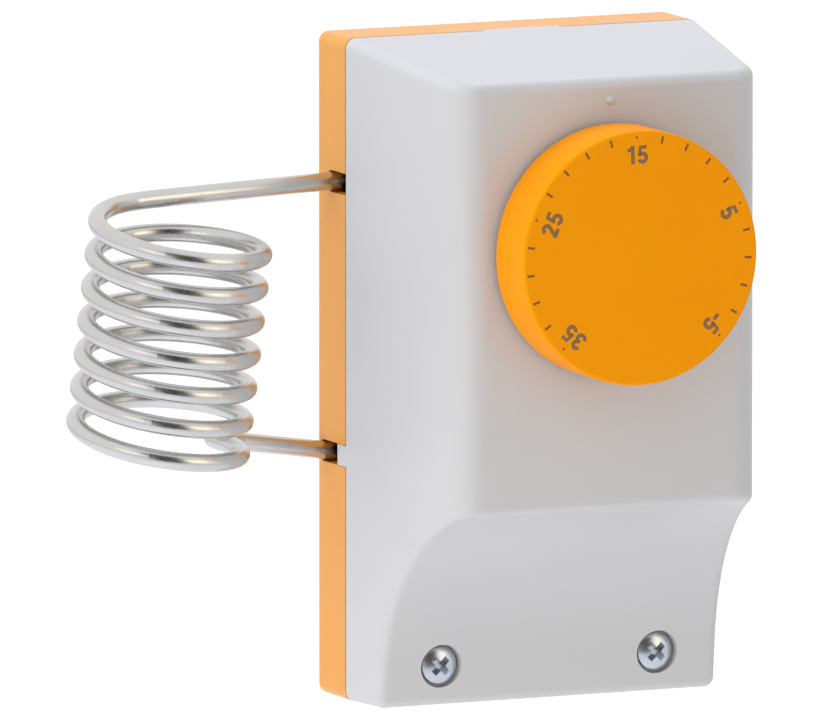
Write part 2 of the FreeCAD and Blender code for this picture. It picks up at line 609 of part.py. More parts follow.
def cover_screws():
    return Part.makeCompound([
        screw(COVER_SCREW_SHANK, COVER_SCREW_HEAD, COVER_SCREW_HEAD_HEIGHT, COVER_SCREW_LENGTH,
              x, z, cover_screw_seat(), True)
        for x, z in mirrored_places(COVER_SCREW_HALF_SPACING, COVER_SCREW_Z)])


def small_screws(places, seat, length):
    return Part.makeCompound([
        screw(SMALL_SCREW_SHANK, SMALL_SCREW_HEAD, SMALL_SCREW_HEAD_HEIGHT, length, x, z, seat, False)
        for x, z in places])


def cable_grommet():
    wall = max(BASE_WALL, COVER_WALL)
    inner_flange = BOTTOM + wall + 0.05
    sleeve = inner_flange + GROMMET_INNER_FLANGE_THICKNESS
    pieces = [upright_rod(GROMMET_NECK, 0, BASE_DEPTH, BOTTOM, sleeve)]
    pieces.append(upright_rod(GROMMET_FLANGE, 0, BASE_DEPTH, BOTTOM, BOTTOM + GROMMET_FLANGE_THICKNESS))
    pieces.append(upright_rod(GROMMET_FLANGE, 0, BASE_DEPTH, inner_flange, sleeve))
    pieces.append(upright_rod(GROMMET_SLEEVE, 0, BASE_DEPTH, sleeve - 1, sleeve + GROMMET_SLEEVE_LENGTH))
    grommet = pieces[0].multiFuse(pieces[1:])
    return grommet.cut(upright_rod(CABLE_BORE, 0, BASE_DEPTH, BOTTOM - 1, BOTTOM + FAR)).removeSplitter()


def dial_knob():
    outer = rod(2 * DIAL_RADIUS, 0, DIAL_Z, DIAL_REAR_DEPTH, DIAL_FACE_DEPTH)
    outer = rounded(outer, DIAL_RIM_RADIUS, lambda edge: lies_at_depth(edge, DIAL_FACE_DEPTH))
    inner_radius = DIAL_RADIUS - DIAL_SKIRT
    ceiling = DIAL_FACE_DEPTH - DIAL_FACE
    hollow = rod(2 * inner_radius, 0, DIAL_Z, DIAL_REAR_DEPTH - 1, ceiling)
    stop_clear = FRONT_DEPTH + STOP_HEIGHT + 0.6
    ribs = []
    for number in range(RIB_COUNT):
        half, rib_back = RIB_THICKNESS / 2, stop_clear
        if number == 0:
            half, rib_back = STOP_RIB_THICKNESS / 2, DIAL_REAR_DEPTH + 0.3
        rib = block(-half, half, rib_back, ceiling + 0.5, DIAL_Z, DIAL_Z + inner_radius + 0.5)
        rib.rotate(point(0, 0, DIAL_Z), FreeCAD.Vector(0, 1, 0), 360 * number / RIB_COUNT)
        ribs.append(rib)
    hub = rod(HUB_DIAMETER, 0, DIAL_Z, DIAL_REAR_DEPTH, ceiling + 0.5)
    knob = outer.cut(hollow).multiFuse(ribs + [hub])
    bore_radius = SPINDLE_TIP_DIAMETER / 2 + RUNNING_FIT
    bore_end = SPINDLE_FRONT_DEPTH + 0.3
    bore = rod(2 * bore_radius, 0, DIAL_Z, DIAL_REAR_DEPTH - 1, bore_end)
    flat_z = DIAL_Z + SPINDLE_FLAT + CLIP_STRIP + 2 * RUNNING_FIT
    bore = bore.cut(block(-FAR, FAR, DIAL_REAR_DEPTH - 2, bore_end + 1, flat_z, DIAL_Z + FAR))
    return knob.cut(bore).removeSplitter()


def knob_clip():
    """Spring strip between the spindle's flat and the dial's hub."""
    low = DIAL_Z + SPINDLE_FLAT + RUNNING_FIT
    length = SPINDLE_FRONT_DEPTH - DIAL_REAR_DEPTH - 3
    strip = block(-1.6, 1.6, DIAL_REAR_DEPTH + 1, DIAL_REAR_DEPTH + 1 + length, low, low + CLIP_STRIP)
    return rounded(strip, 0.15, lambda edge: runs_along(edge, FreeCAD.Vector(1, 0, 0)))


def spindle():
    bush_back = BEARING_PLATE_DEPTH + BEARING_PLATE_THICKNESS - BUSH_LENGTH
    shoulder = SPINDLE_FRONT_DEPTH - SPINDLE_TIP_LENGTH + 2
    collar_front = bush_back - RUNNING_FIT
    body_radius, tip_radius = SPINDLE_DIAMETER / 2, SPINDLE_TIP_DIAMETER / 2
    groove_radius = CIRCLIP_GROOVE / 2
    profile = [(0, SPINDLE_REAR_DEPTH), (body_radius - 0.6, SPINDLE_REAR_DEPTH)]
    profile += [(body_radius, SPINDLE_REAR_DEPTH + 0.6), (body_radius, collar_front - COLLAR_LENGTH)]
    profile += [(COLLAR_DIAMETER / 2, collar_front - COLLAR_LENGTH), (COLLAR_DIAMETER / 2, collar_front)]
    profile += [(body_radius, collar_front), (body_radius, CIRCLIP_DEPTH)]
    profile += [(groove_radius, CIRCLIP_DEPTH), (groove_radius, CIRCLIP_DEPTH + CIRCLIP_THICKNESS + 0.1)]
    profile += [(body_radius, CIRCLIP_DEPTH + CIRCLIP_THICKNESS + 0.1), (body_radius, shoulder)]
    profile += [(tip_radius, shoulder), (tip_radius, SPINDLE_FRONT_DEPTH - 0.5)]
    profile += [(tip_radius - 0.5, SPINDLE_FRONT_DEPTH), (0, SPINDLE_FRONT_DEPTH)]
    flat = block(-FAR, FAR, DIAL_REAR_DEPTH, SPINDLE_FRONT_DEPTH + 1, DIAL_Z + SPINDLE_FLAT, DIAL_Z + FAR)
    return turned(profile, 0, DIAL_Z).cut(flat)


def spindle_circlip():
    ring = rod(CIRCLIP_OUTER, 0, DIAL_Z, CIRCLIP_DEPTH, CIRCLIP_DEPTH + CIRCLIP_THICKNESS)
    ring = ring.cut(rod(CIRCLIP_GROOVE, 0, DIAL_Z, CIRCLIP_DEPTH - 1, CIRCLIP_DEPTH + 2))
    mouth = CIRCLIP_GROOVE * 0.4
    return ring.cut(block(-mouth, mouth, CIRCLIP_DEPTH - 1, CIRCLIP_DEPTH + 2, DIAL_Z - FAR, DIAL_Z))


def bearing_bush():
    front = BEARING_PLATE_DEPTH + BEARING_PLATE_THICKNESS
    bore = SPINDLE_DIAMETER / 2 + RUNNING_FIT
    profile = [(bore, front - BUSH_LENGTH), (BUSH_DIAMETER / 2, front - BUSH_LENGTH)]
    profile += [(BUSH_DIAMETER / 2, front), (BUSH_FLANGE / 2, front)]
    profile += [(BUSH_FLANGE / 2, front + BUSH_FLANGE_THICKNESS), (bore, front + BUSH_FLANGE_THICKNESS)]
    return turned(profile, 0, DIAL_Z)


def bearing_plate():
    back, front = BEARING_PLATE_DEPTH, BEARING_PLATE_DEPTH + BEARING_PLATE_THICKNESS
    half = BRACKET_HALF_INNER - 0.05
    plate = block(-half, half, back, front, LEG_LOWER, LEG_FRONT_UPPER)
    tab_reach = BRACKET_HALF_INNER + SHEET + 0.8
    tabs = block(-tab_reach, tab_reach, back, front,
                 DIAL_Z - BEARING_TAB_HEIGHT / 2, DIAL_Z + BEARING_TAB_HEIGHT / 2)
    return plate.fuse(tabs).cut(rod(BUSH_DIAMETER, 0, DIAL_Z, back - 1, front + 1)).removeSplitter()


def mechanism_bracket():
    """Folded U: a plate on the base posts and two legs that hold the pivot and the bearing plate."""
    outer = BRACKET_HALF_INNER + SHEET
    plate = block(-outer, outer, BRACKET_DEPTH, BRACKET_DEPTH + SHEET, BRACKET_BOTTOM, BRACKET_TOP)
    legs = []
    for side in (-1, 1):
        x = BRACKET_HALF_INNER if side > 0 else -outer
        corners = [(BRACKET_DEPTH, LEG_LOWER), (LEG_FRONT_DEPTH, LEG_LOWER)]
        corners += [(LEG_FRONT_DEPTH, LEG_FRONT_UPPER), (PIVOT_DEPTH + 8, LEG_UPPER), (BRACKET_DEPTH, LEG_UPPER)]
        points = [point(x, depth, z) for depth, z in corners]
        face = Part.Face(Part.makePolygon(points + points[:1]))
        legs.append(face.extrude(FreeCAD.Vector(SHEET, 0, 0)))
    bracket = plate.multiFuse(legs).removeSplitter()

    def is_outer_fold(edge):
        on_side = abs(abs(edge.Vertexes[0].X) - outer) < 0.01
        upright = runs_along(edge, FreeCAD.Vector(0, 0, 1))
        within_legs = edge.BoundBox.ZMin > LEG_LOWER - 0.1 and edge.BoundBox.ZMax < LEG_UPPER + 0.1
        return on_side and upright and lies_at_depth(edge, BRACKET_DEPTH) and within_legs

    relief = 1.0
    cuts = [cross_rod(PIVOT_PIN, PIVOT_DEPTH, PIVOT_Z, -outer - 1, outer + 1)]
    cuts.append(block(-outer - 1, outer + 1, BEARING_PLATE_DEPTH, BEARING_PLATE_DEPTH + BEARING_PLATE_THICKNESS,
                      DIAL_Z - BEARING_TAB_HEIGHT / 2, DIAL_Z + BEARING_TAB_HEIGHT / 2))
    cuts.append(rod(CAPSULE_STEM, 0, DIAL_Z, BRACKET_DEPTH - 1, BRACKET_DEPTH + SHEET + 1))
    cuts += [rod(SMALL_SCREW_SHANK + 0.4, x, z, BRACKET_DEPTH - 1, BRACKET_DEPTH + SHEET + 1)
             for x, z in bracket_screw_places()]
    for side in (-1, 1):
        low_x, high_x = sorted((side * (BRACKET_HALF_INNER - relief), side * (outer + 1)))
        for low_z, high_z in ((BRACKET_BOTTOM - 1, LEG_LOWER), (LEG_UPPER, BRACKET_TOP + 1)):
            cuts.append(block(low_x, high_x, BRACKET_DEPTH - 1, BRACKET_DEPTH + SHEET + 1, low_z, high_z))
    return bracket.cut(Part.makeCompound(cuts)).removeSplitter()


def lever_pin():
    """Pivot pin with a head at each end, the second one peened over."""
    outer = BRACKET_HALF_INNER + SHEET
    shank = cross_rod(PIVOT_PIN, PIVOT_DEPTH, PIVOT_Z, -outer, outer)
    heads = [cross_rod(PIVOT_HEAD, PIVOT_DEPTH, PIVOT_Z, -outer - PIVOT_HEAD_THICKNESS, -outer)]
    heads.append(cross_rod(PIVOT_HEAD, PIVOT_DEPTH, PIVOT_Z, outer, outer + PIVOT_HEAD_THICKNESS))
    return shank.multiFuse(heads)


def lever():
    """Sheet lever hung from the pin by two folded ears, pressed by the stud and the range spring."""
    half, neck = LEVER_HALF_WIDTH, LEVER_NECK_HALF_WIDTH
    taper = LEVER_NECK_TOP - (half - neck)
    outline = [(-neck, LEVER_BOTTOM), (neck, LEVER_BOTTOM), (neck, taper), (half, LEVER_NECK_TOP)]
    outline += [(half, LEVER_TOP), (-half, LEVER_TOP), (-half, LEVER_NECK_TOP), (-neck, taper)]
    blade = plate_from_outline(outline, LEVER_DEPTH, LEVER_SHEET)
    ears = []
    for side in (-1, 1):
        low_x, high_x = sorted((side * (half - LEVER_SHEET), side * half))
        ears.append(block(low_x, high_x, PIVOT_DEPTH, LEVER_DEPTH + 0.5,
                          PIVOT_Z - EAR_HALF_HEIGHT, PIVOT_Z + EAR_HALF_HEIGHT))
        ears.append(cross_rod(2 * EAR_HALF_HEIGHT, PIVOT_DEPTH, PIVOT_Z, low_x, high_x))
    front = LEVER_DEPTH + LEVER_SHEET
    seat = rod(LEVER_SPRING_SEAT, 0, DIAL_Z, front - 0.5, front + LEVER_SPRING_SEAT_HEIGHT)
    body = blade.multiFuse(ears + [seat])
    pin_hole = cross_rod(PIVOT_PIN + 2 * RUNNING_FIT, PIVOT_DEPTH, PIVOT_Z, -half - 1, half + 1)
    screw_hole = rod(SMALL_SCREW_SHANK, 0, CALIBRATION_Z, LEVER_DEPTH - 1, front + 1)
    return body.cut(Part.makeCompound([pin_hole, screw_hole])).removeSplitter()


def calibration_screw():
    """Threaded pin with a slot in its front end, whose round tip works the switch plunger."""
    tip = PLUNGER_TIP_DEPTH + CONTACT_GAP
    radius = SMALL_SCREW_SHANK / 2
    end = tip + CALIBRATION_SCREW_LENGTH
    profile = [(0, tip), (radius * 0.6, tip + 0.25), (radius, tip + 0.8), (radius, end - 0.3)]
    profile += [(radius - 0.3, end), (0, end)]
    return turned(profile, 0, CALIBRATION_Z).cut(
        block(-radius - 1, radius + 1, end - 0.9, end + 1, CALIBRATION_Z - 0.3, CALIBRATION_Z + 0.3))


def calibration_nut():
    """Lock nut of the calibration screw, against the lever."""
    radius = SMALL_SCREW_SHANK * 0.92
    corners = [(radius * math.cos(math.radians(60 * n)), CALIBRATION_Z + radius * math.sin(math.radians(60 * n)))
               for n in range(6)]
    nut = plate_from_outline(corners, LEVER_DEPTH + LEVER_SHEET, SMALL_SCREW_SHANK * 0.8)
    return nut.cut(rod(SMALL_SCREW_SHANK, 0, CALIBRATION_Z, LEVER_DEPTH, LEVER_DEPTH + FAR))


def capsule_body():
    """Pressed cup on the bracket, with a stem through it that takes the end of the tube."""
    rim = CAPSULE_DIAMETER / 2
    back, front = CAPSULE_DEPTH, STUD_DEPTH - DIAPHRAGM_THICKNESS - DIAPHRAGM_WAVE
    stem = CAPSULE_STEM / 2
    profile = [(0, CAPSULE_STEM_DEPTH), (stem, CAPSULE_STEM_DEPTH), (stem, back), (rim - 2.5, back)]
    profile += [(rim, front - CAPSULE_WALL), (rim, front), (rim - 2.0, front)]
    profile += [(rim - 3.2, back + CAPSULE_WALL), (0, back + CAPSULE_WALL)]
    body = turned(profile, 0, DIAL_Z)
    end, direction = capsule_tube_end()
    socket = Part.makeCylinder(TUBE_DIAMETER / 2 + RUNNING_FIT, CAPSULE_STEM, end, direction)
    return body.cut(socket)


def capsule_diaphragm():
    """Thin disc with round waves, welded to the cup's rim."""
    back = STUD_DEPTH - DIAPHRAGM_THICKNESS - DIAPHRAGM_WAVE
    rim = CAPSULE_DIAMETER / 2
    flat = STUD_DIAMETER / 2 + 1.0
    steps = 2 * DIAPHRAGM_WAVES
    lower = [(0, back + DIAPHRAGM_WAVE)]
    span = rim - 2.5 - flat
    for number in range(steps + 1):
        height = DIAPHRAGM_WAVE if number % 2 == 0 else 0
        lower.append((flat + span * number / steps, back + height))
    lower += [(rim - 1.6, back), (rim, back)]
    upper = [(radius, depth + DIAPHRAGM_THICKNESS) for radius, depth in reversed(lower)]
    return turned(lower + upper, 0, DIAL_Z)


def push_stud():
    radius = STUD_DIAMETER / 2
    end = STUD_DEPTH + STUD_LENGTH
    profile = [(0, STUD_DEPTH), (radius, STUD_DEPTH), (radius, end - 0.7), (radius * 0.6, end - 0.15), (0, end)]
    return turned(profile, 0, DIAL_Z)


def range_nut():
    """Bar nut kept from turning by the bracket's legs."""
    half = BRACKET_HALF_INNER - NUT_SIDE_GAP
    body = block(-half, half, NUT_DEPTH, NUT_DEPTH + NUT_THICKNESS,
                 DIAL_Z - NUT_HEIGHT / 2, DIAL_Z + NUT_HEIGHT / 2)
    body = rounded(body, 1.0, lambda edge: runs_along(edge, FreeCAD.Vector(0, 1, 0)))
    return body.cut(rod(SPINDLE_DIAMETER + 2 * RUNNING_FIT, 0, DIAL_Z, NUT_DEPTH - 1, NUT_DEPTH + NUT_THICKNESS + 1))


def range_spring():
    """Compression spring between the lever and the nut, its ends cut flat."""
    back = LEVER_DEPTH + LEVER_SHEET + SPRING_SEAT_GAP
    front = NUT_DEPTH - SPRING_SEAT_GAP
    radius = (SPRING_DIAMETER - SPRING_WIRE) / 2
    turns = round(2 * (front - back) / SPRING_PITCH) / 2
    pitch = (front - back) / turns
    helix = Part.makeHelix(pitch, front - back + 0.01, radius)
    edge = helix.Edges[0]
    start = edge.valueAt(edge.FirstParameter)
    circle = Part.makeCircle(SPRING_WIRE / 2, start, edge.tangentAt(edge.FirstParameter))
    coil = Part.Wire(helix.Edges).makePipeShell([Part.Wire(circle)], True, True)
    coil.Placement = FreeCAD.Placement(point(0, back, DIAL_Z), FreeCAD.Rotation(FreeCAD.Vector(1, 0, 0), 90))
    return coil.common(rod(SPRING_DIAMETER + 2, 0, DIAL_Z, back, front))


def switch_body():
    """Moulded snap switch with its terminal pockets open to the front and to the cable side."""
    half, back, front = SWITCH_HALF_WIDTH, SWITCH_DEPTH, SWITCH_FRONT_DEPTH
    body = block(-half, half, back, front, SWITCH_BOTTOM, SWITCH_TOP)
    body = rounded(body, 0.8, lambda edge: runs_along(edge, FreeCAD.Vector(0, 1, 0)))
    cuts = [rod(PLUNGER_DIAMETER + 2 * RUNNING_FIT, 0, CALIBRATION_Z, front - PLUNGER_SEATED - 1.2, front + 1)]
    cuts += [rod(SMALL_SCREW_SHANK + 0.4, x, z, back - 1, front + 1) for x, z in switch_screw_places()]
    cuts += [rod(SMALL_SCREW_HEAD + 0.6, x, z, front - 2.5, front + 1) for x, z in switch_screw_places()]
    pocket_back = front - TERMINAL_POCKET_DEPTH
    for x in terminal_places():
        left, right = x - TERMINAL_POCKET / 2, x + TERMINAL_POCKET / 2
        cuts.append(block(left, right, pocket_back, front + 1, SWITCH_BOTTOM - 1, TERMINAL_Z + TERMINAL_POCKET / 2))
        cuts.append(rod(SMALL_SCREW_SHANK, x, TERMINAL_Z, pocket_back - 4, pocket_back + 1))
    return body.cut(Part.makeCompound(cuts)).removeSplitter()


def terminal_places():
    middle = (TERMINAL_COUNT - 1) / 2
    return [(number - middle) * TERMINAL_SPACING for number in range(TERMINAL_COUNT)]


def terminal_clamps():
    """Square wire clamps with two edges bent towards the wall."""
    seat = SWITCH_FRONT_DEPTH - TERMINAL_POCKET_DEPTH
    clamps = []
    half = TERMINAL_CLAMP / 2
    for x in terminal_places():
        front = seat + 1.2 + TERMINAL_CLAMP_THICKNESS
        plate = block(x - half, x + half, seat, front, TERMINAL_Z - half, TERMINAL_Z + half)
        channel = block(x - half + 1.0, x + half - 1.0, seat - 1, seat + 1.2, TERMINAL_Z - FAR, TERMINAL_Z + FAR)
        hole = rod(SMALL_SCREW_SHANK + 0.3, x, TERMINAL_Z, seat - 1, front + 1)
        clamps.append(plate.cut(channel).cut(hole))
    return Part.makeCompound(clamps)


def terminal_screws():
    seat = SWITCH_FRONT_DEPTH - TERMINAL_POCKET_DEPTH + 1.2 + TERMINAL_CLAMP_THICKNESS
    return small_screws([(x, TERMINAL_Z) for x in terminal_places()], seat, SMALL_SCREW_LENGTH * 0.85)


def switch_screws():
    seat = SWITCH_FRONT_DEPTH - 2.5
    return small_screws(switch_screw_places(), seat, seat - 1.3)


def switch_plunger():
    back = SWITCH_FRONT_DEPTH - PLUNGER_SEATED
    radius = PLUNGER_DIAMETER / 2
    profile = [(0, back), (radius, back), (radius, PLUNGER_TIP_DEPTH - 0.6)]
    profile += [(radius * 0.6, PLUNGER_TIP_DEPTH - 0.1), (0, PLUNGER_TIP_DEPTH)]
    return turned(profile, 0, CALIBRATION_Z)


def bracket_screws():
    return small_screws(bracket_screw_places(), BRACKET_DEPTH + SHEET, SMALL_SCREW_LENGTH)


def earth_clamp():
    half = EARTH_CLAMP / 2
    front = EARTH_BOSS_DEPTH + 1.4 + TERMINAL_CLAMP_THICKNESS
    plate = block(EARTH_X - half, EARTH_X + half, EARTH_BOSS_DEPTH, front, EARTH_Z - half, EARTH_Z + half)
    channel = block(EARTH_X - half + 1.2, EARTH_X + half - 1.2, EARTH_BOSS_DEPTH - 1, EARTH_BOSS_DEPTH + 1.4,
                    EARTH_Z - FAR, EARTH_Z + FAR)
    hole = rod(SMALL_SCREW_SHANK + 0.3, EARTH_X, EARTH_Z, EARTH_BOSS_DEPTH - 1, front + 1)
    return plate.cut(channel).cut(hole)


def earth_screw():
    seat = EARTH_BOSS_DEPTH + 1.4 + TERMINAL_CLAMP_THICKNESS
    return small_screws([(EARTH_X, EARTH_Z)], seat, seat - 1.3).Solids[0]


def lower_lead_direction():
    """Direction of the lower lead, from the coil into the housing."""
    return FreeCAD.Vector(LOWER_LEAD_LENGTH, 0, -LOWER_LEAD_RISE).normalize()


def upper_lead_direction():
    """Direction of the upper lead, from the housing to the coil."""
    return FreeCAD.Vector(-UPPER_LEAD_LENGTH, -UPPER_LEAD_DEPTH_RISE, -UPPER_LEAD_DROP).normalize()


def tube_clamp_screw_place():
    """Screw of the tube clamp, to one side of the sealed end."""
    direction = lower_lead_direction()
    along = TUBE_CLAMP_FROM_WALL
    x = -HALF_WIDTH + direction.x * along + direction.z * TUBE_CLAMP_REACH
    z = LOWER_NOTCH_Z + direction.z * along - direction.x * TUBE_CLAMP_REACH
    return x, z


def tube_clamp():
    """Strip from its boss down to the tube, with a curled edge that holds the sealed end."""
    direction = lower_lead_direction()
    across = FreeCAD.Vector(-direction.z, 0, direction.x)
    start = point(-HALF_WIDTH, 0, LOWER_NOTCH_Z) + direction * (TUBE_CLAMP_FROM_WALL - TUBE_CLAMP_WIDTH / 2)
    foot = TUBE_CLAMP_BOSS_DEPTH
    over_tube = LOWER_TUBE_DEPTH + TUBE_DIAMETER / 2 + 0.05
    reach, radius, sheet = TUBE_CLAMP_REACH, TUBE_DIAMETER / 2, TUBE_CLAMP_SHEET
    line = [(-reach - 3.4, foot), (-reach + 3.6, foot), (-radius - 0.6, over_tube), (radius + 0.4, over_tube)]
    corners = line + [(side, depth + sheet) for side, depth in reversed(line)]
    points = [start + across * side + FreeCAD.Vector(0, -depth, 0) for side, depth in corners]
    strip = Part.Face(Part.makePolygon(points + points[:1])).extrude(direction * TUBE_CLAMP_WIDTH)
    x, z = tube_clamp_screw_place()
    return strip.cut(rod(SMALL_SCREW_SHANK + 0.4, x, z, foot - 1, foot + 3))


def tube_clamp_screw():
    seat = TUBE_CLAMP_BOSS_DEPTH + TUBE_CLAMP_SHEET
    return small_screws([tube_clamp_screw_place()], seat, seat - 1.3).Solids[0]


def coil_station(angle):
    """Point and direction of the coil's centre line, at an angle from the turn's wall side."""
    axis = FreeCAD.Vector(COIL_LEAN_X, -COIL_LEAN_FORWARD, 1.0).normalize()
    to_wall = FreeCAD.Vector(0, 1, 0) - axis * axis.y
    to_wall.normalize()
    to_right = to_wall.cross(axis)
    turns = (angle - COIL_REFERENCE_ANGLE) / 360
    centre = point(COIL_TOP_X, COIL_TOP_DEPTH, COIL_TOP_Z) - axis * (COIL_PITCH * turns)
    turn = math.radians(angle)
    place = centre + to_wall * (COIL_RADIUS * math.cos(turn)) - to_right * (COIL_RADIUS * math.sin(turn))
    direction = to_right * (-COIL_RADIUS * math.cos(turn)) - to_wall * (COIL_RADIUS * math.sin(turn))
    direction -= axis * (COIL_PITCH / (2 * math.pi))
    return place, direction.normalize()


def tangent_arc(start, direction, end):
    """Arc or line from start along direction to end."""
    chord = end - start
    normal = direction.cross(chord)
    if normal.Length < 1e-4 * chord.Length:
        return Part.makeLine(start, end)
    side = normal.normalize().cross(direction)
    radius = chord.Length ** 2 / (2 * chord.dot(side))
    centre = start + side * radius
    middle = ((start + end) * 0.5 - centre).normalize()
    return Part.Arc(start, centre + middle * radius, end).toShape()


def tangent_pair(start, start_direction, end, end_direction):
    """Two arcs that join two stations and meet with one tangent."""
    chord = end - start
    turn = 2 * (1 - start_direction.dot(end_direction))
    along = 2 * chord.dot(start_direction + end_direction)
    if turn < 1e-9:
        return [Part.makeLine(start, end)]
    reach = (math.sqrt(along ** 2 + 4 * turn * chord.dot(chord)) - along) / (2 * turn)
    middle = (start + end + (start_direction - end_direction) * reach) * 0.5
    return [tangent_arc(start, start_direction, middle), tangent_arc(end, end_direction * -1, middle)]


def capsule_tube_end():
    """Where the tube ends inside the capsule's stem, and its direction away from the capsule."""
    depth = UPPER_TUBE_DEPTH
    inner_wall = point(-HALF_WIDTH + INNER_END_FROM_WALL, depth, UPPER_NOTCH_Z)
    direction = inner_wall - point(0, depth, DIAL_Z)
    direction.normalize()
    return point(0, depth, DIAL_Z) + direction * (CAPSULE_STEM / 2 - INNER_END_IN_STEM), direction


def tube_stations():
    """Points and directions that the tube's centre line passes, from the capsule to the sealed end."""
    end, end_direction = capsule_tube_end()
    wall_upper = point(-HALF_WIDTH, UPPER_TUBE_DEPTH, UPPER_NOTCH_Z)
    wall_lower = point(-HALF_WIDTH, LOWER_TUBE_DEPTH, LOWER_NOTCH_Z)
    outward, inward = upper_lead_direction(), lower_lead_direction()
    bend_start = end + end_direction * INNER_END_STRAIGHT
    stations = [(end, end_direction), (bend_start, end_direction)]
    stations.append((wall_upper - outward * 2.0, outward))
    stations.append((wall_upper + outward * UPPER_LEAD_LENGTH, outward))
    quarters = round((COIL_END_ANGLE - COIL_START_ANGLE) / 90)
    step = (COIL_END_ANGLE - COIL_START_ANGLE) / quarters
    stations += [coil_station(COIL_START_ANGLE + step * number) for number in range(quarters + 1)]
    stations.append((wall_lower - inward * LOWER_LEAD_LENGTH, inward))
    stations.append((wall_lower + inward * LOWER_END_LENGTH, inward))
    return stations


def sensor_coil():
    """Sensor tube in one piece: inner end, upper lead, coil, lower lead and sealed end."""
    stations = tube_stations()
    edges = []
    for (start, start_direction), (end, end_direction) in zip(stations, stations[1:]):
        edges += tangent_pair(start, start_direction, end, end_direction)
    path = Part.Wire(Part.__sortEdges__(edges))
    circle = Part.Wire(Part.makeCircle(TUBE_DIAMETER / 2, *stations[0]))
    tube = path.makePipeShell([circle], True, False)
    print("tube length", round(path.Length, 1), "volume ratio",
          round(tube.Volume / (path.Length * math.pi * TUBE_DIAMETER ** 2 / 4), 4))
    sealed_end = Part.makeSphere(TUBE_DIAMETER / 2, stations[-1][0])
    return tube.fuse(sealed_end)


PIECES = [
    base_tray, front_cover, cover_screws, cable_grommet,
    dial_knob, knob_clip, spindle, spindle_circlip,
    mechanism_bracket, bracket_screws, bearing_plate, bearing_bush,
    range_nut, range_spring, lever, lever_pin, calibration_screw, calibration_nut,
    capsule_body, capsule_diaphragm, push_stud, sensor_coil, tube_clamp, tube_clamp_screw,
    switch_body, switch_plunger, switch_screws, terminal_clamps, terminal_screws,
    earth_clamp, earth_screw,
]

os.makedirs("parts", exist_ok=True)
for make in PIECES:
    shape = make()
    print(make.__name__, "solids", len(shape.Solids), "valid", shape.isValid(), "volume", round(shape.Volume, 1))
    shape.exportStep("parts/" + make.__name__ + ".step")
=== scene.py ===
# %% [markdown]
# # A room thermostat with a coiled sensor tube
# The thermostat is an orange tray that hangs on a wall, a light grey cover, an orange dial and a bright metal
# tube wound into a coil beside the housing. The solid pieces come from the imported frame, where every piece
# already has its true size and place. This lesson gives them their materials, adds the printed scale and the
# two cross-head screws, puts a merged copy of the spring inside in place of the solid one, and then sets up
# the light and the camera.

import json
import math

import bpy
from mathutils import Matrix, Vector


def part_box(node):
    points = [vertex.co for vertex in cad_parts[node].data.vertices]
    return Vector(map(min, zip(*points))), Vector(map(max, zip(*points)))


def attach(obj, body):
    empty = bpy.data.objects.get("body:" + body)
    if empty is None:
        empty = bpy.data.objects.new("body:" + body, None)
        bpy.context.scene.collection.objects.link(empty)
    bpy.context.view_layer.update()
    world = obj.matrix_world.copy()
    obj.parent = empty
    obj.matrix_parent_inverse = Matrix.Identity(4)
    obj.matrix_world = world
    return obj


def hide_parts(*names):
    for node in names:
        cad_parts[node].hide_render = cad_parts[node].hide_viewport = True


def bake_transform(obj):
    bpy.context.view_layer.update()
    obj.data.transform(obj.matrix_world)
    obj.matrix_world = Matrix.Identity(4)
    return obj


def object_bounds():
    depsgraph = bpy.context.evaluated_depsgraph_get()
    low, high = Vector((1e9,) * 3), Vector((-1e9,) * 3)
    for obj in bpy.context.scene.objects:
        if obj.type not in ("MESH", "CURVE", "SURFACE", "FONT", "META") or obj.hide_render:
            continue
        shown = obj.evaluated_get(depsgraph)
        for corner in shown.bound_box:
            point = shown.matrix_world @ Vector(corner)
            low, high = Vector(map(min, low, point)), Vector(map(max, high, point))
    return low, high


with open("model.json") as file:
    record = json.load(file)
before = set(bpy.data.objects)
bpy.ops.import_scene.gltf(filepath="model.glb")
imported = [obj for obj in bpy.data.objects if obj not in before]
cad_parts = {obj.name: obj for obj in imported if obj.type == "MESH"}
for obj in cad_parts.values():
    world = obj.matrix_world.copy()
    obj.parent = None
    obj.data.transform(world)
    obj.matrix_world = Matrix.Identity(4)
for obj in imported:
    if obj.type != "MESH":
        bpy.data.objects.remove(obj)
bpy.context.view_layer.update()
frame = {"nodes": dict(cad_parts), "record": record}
nodes = frame["nodes"]
MM = 0.001


# %% [markdown]
# ## Colours and nodes
# A colour picked from a sample card is an sRGB value, but the renderer works with linear light. One function
# turns the six digits of a card colour into the linear numbers. A second one adds a node to a material, sets
# its values and joins its inputs, so that each finish below reads as a short recipe. A third gives the
# direction of a lamp, a card or the camera from its angle round the object and its angle above the floor.

# %% Helpers for finishes and directions
def linear(card_colour):
    channels = [int(card_colour[place:place + 2], 16) / 255 for place in (1, 3, 5)]
    steps = [value / 12.92 if value <= 0.04045 else ((value + 0.055) / 1.055) ** 2.4 for value in channels]
    return (*steps, 1.0)


def add_node(tree, kind, values=None, links=None, **settings):
    """Adds a node with its settings, its input values and its links, given as input: output socket."""
    node = tree.nodes.new(kind)
    for name, value in settings.items():
        setattr(node, name, value)
    for name, value in (values or {}).items():
        node.inputs[name].default_value = value
    for name, source in (links or {}).items():
        tree.links.new(source, node.inputs[name])
    return node


def new_finish(name):
    """A material with an empty node tree and its output."""
    finish = bpy.data.materials.new(name)
    finish.use_nodes = True
    finish.node_tree.nodes.clear()
    return finish, finish.node_tree


def direction_from(azimuth, elevation):
    """The direction towards a point seen at these degrees right of the front and above the floor."""
    turn, lift = math.radians(azimuth), math.radians(elevation)
    return Vector((math.sin(turn) * math.cos(lift), -math.cos(turn) * math.cos(lift), math.sin(lift)))


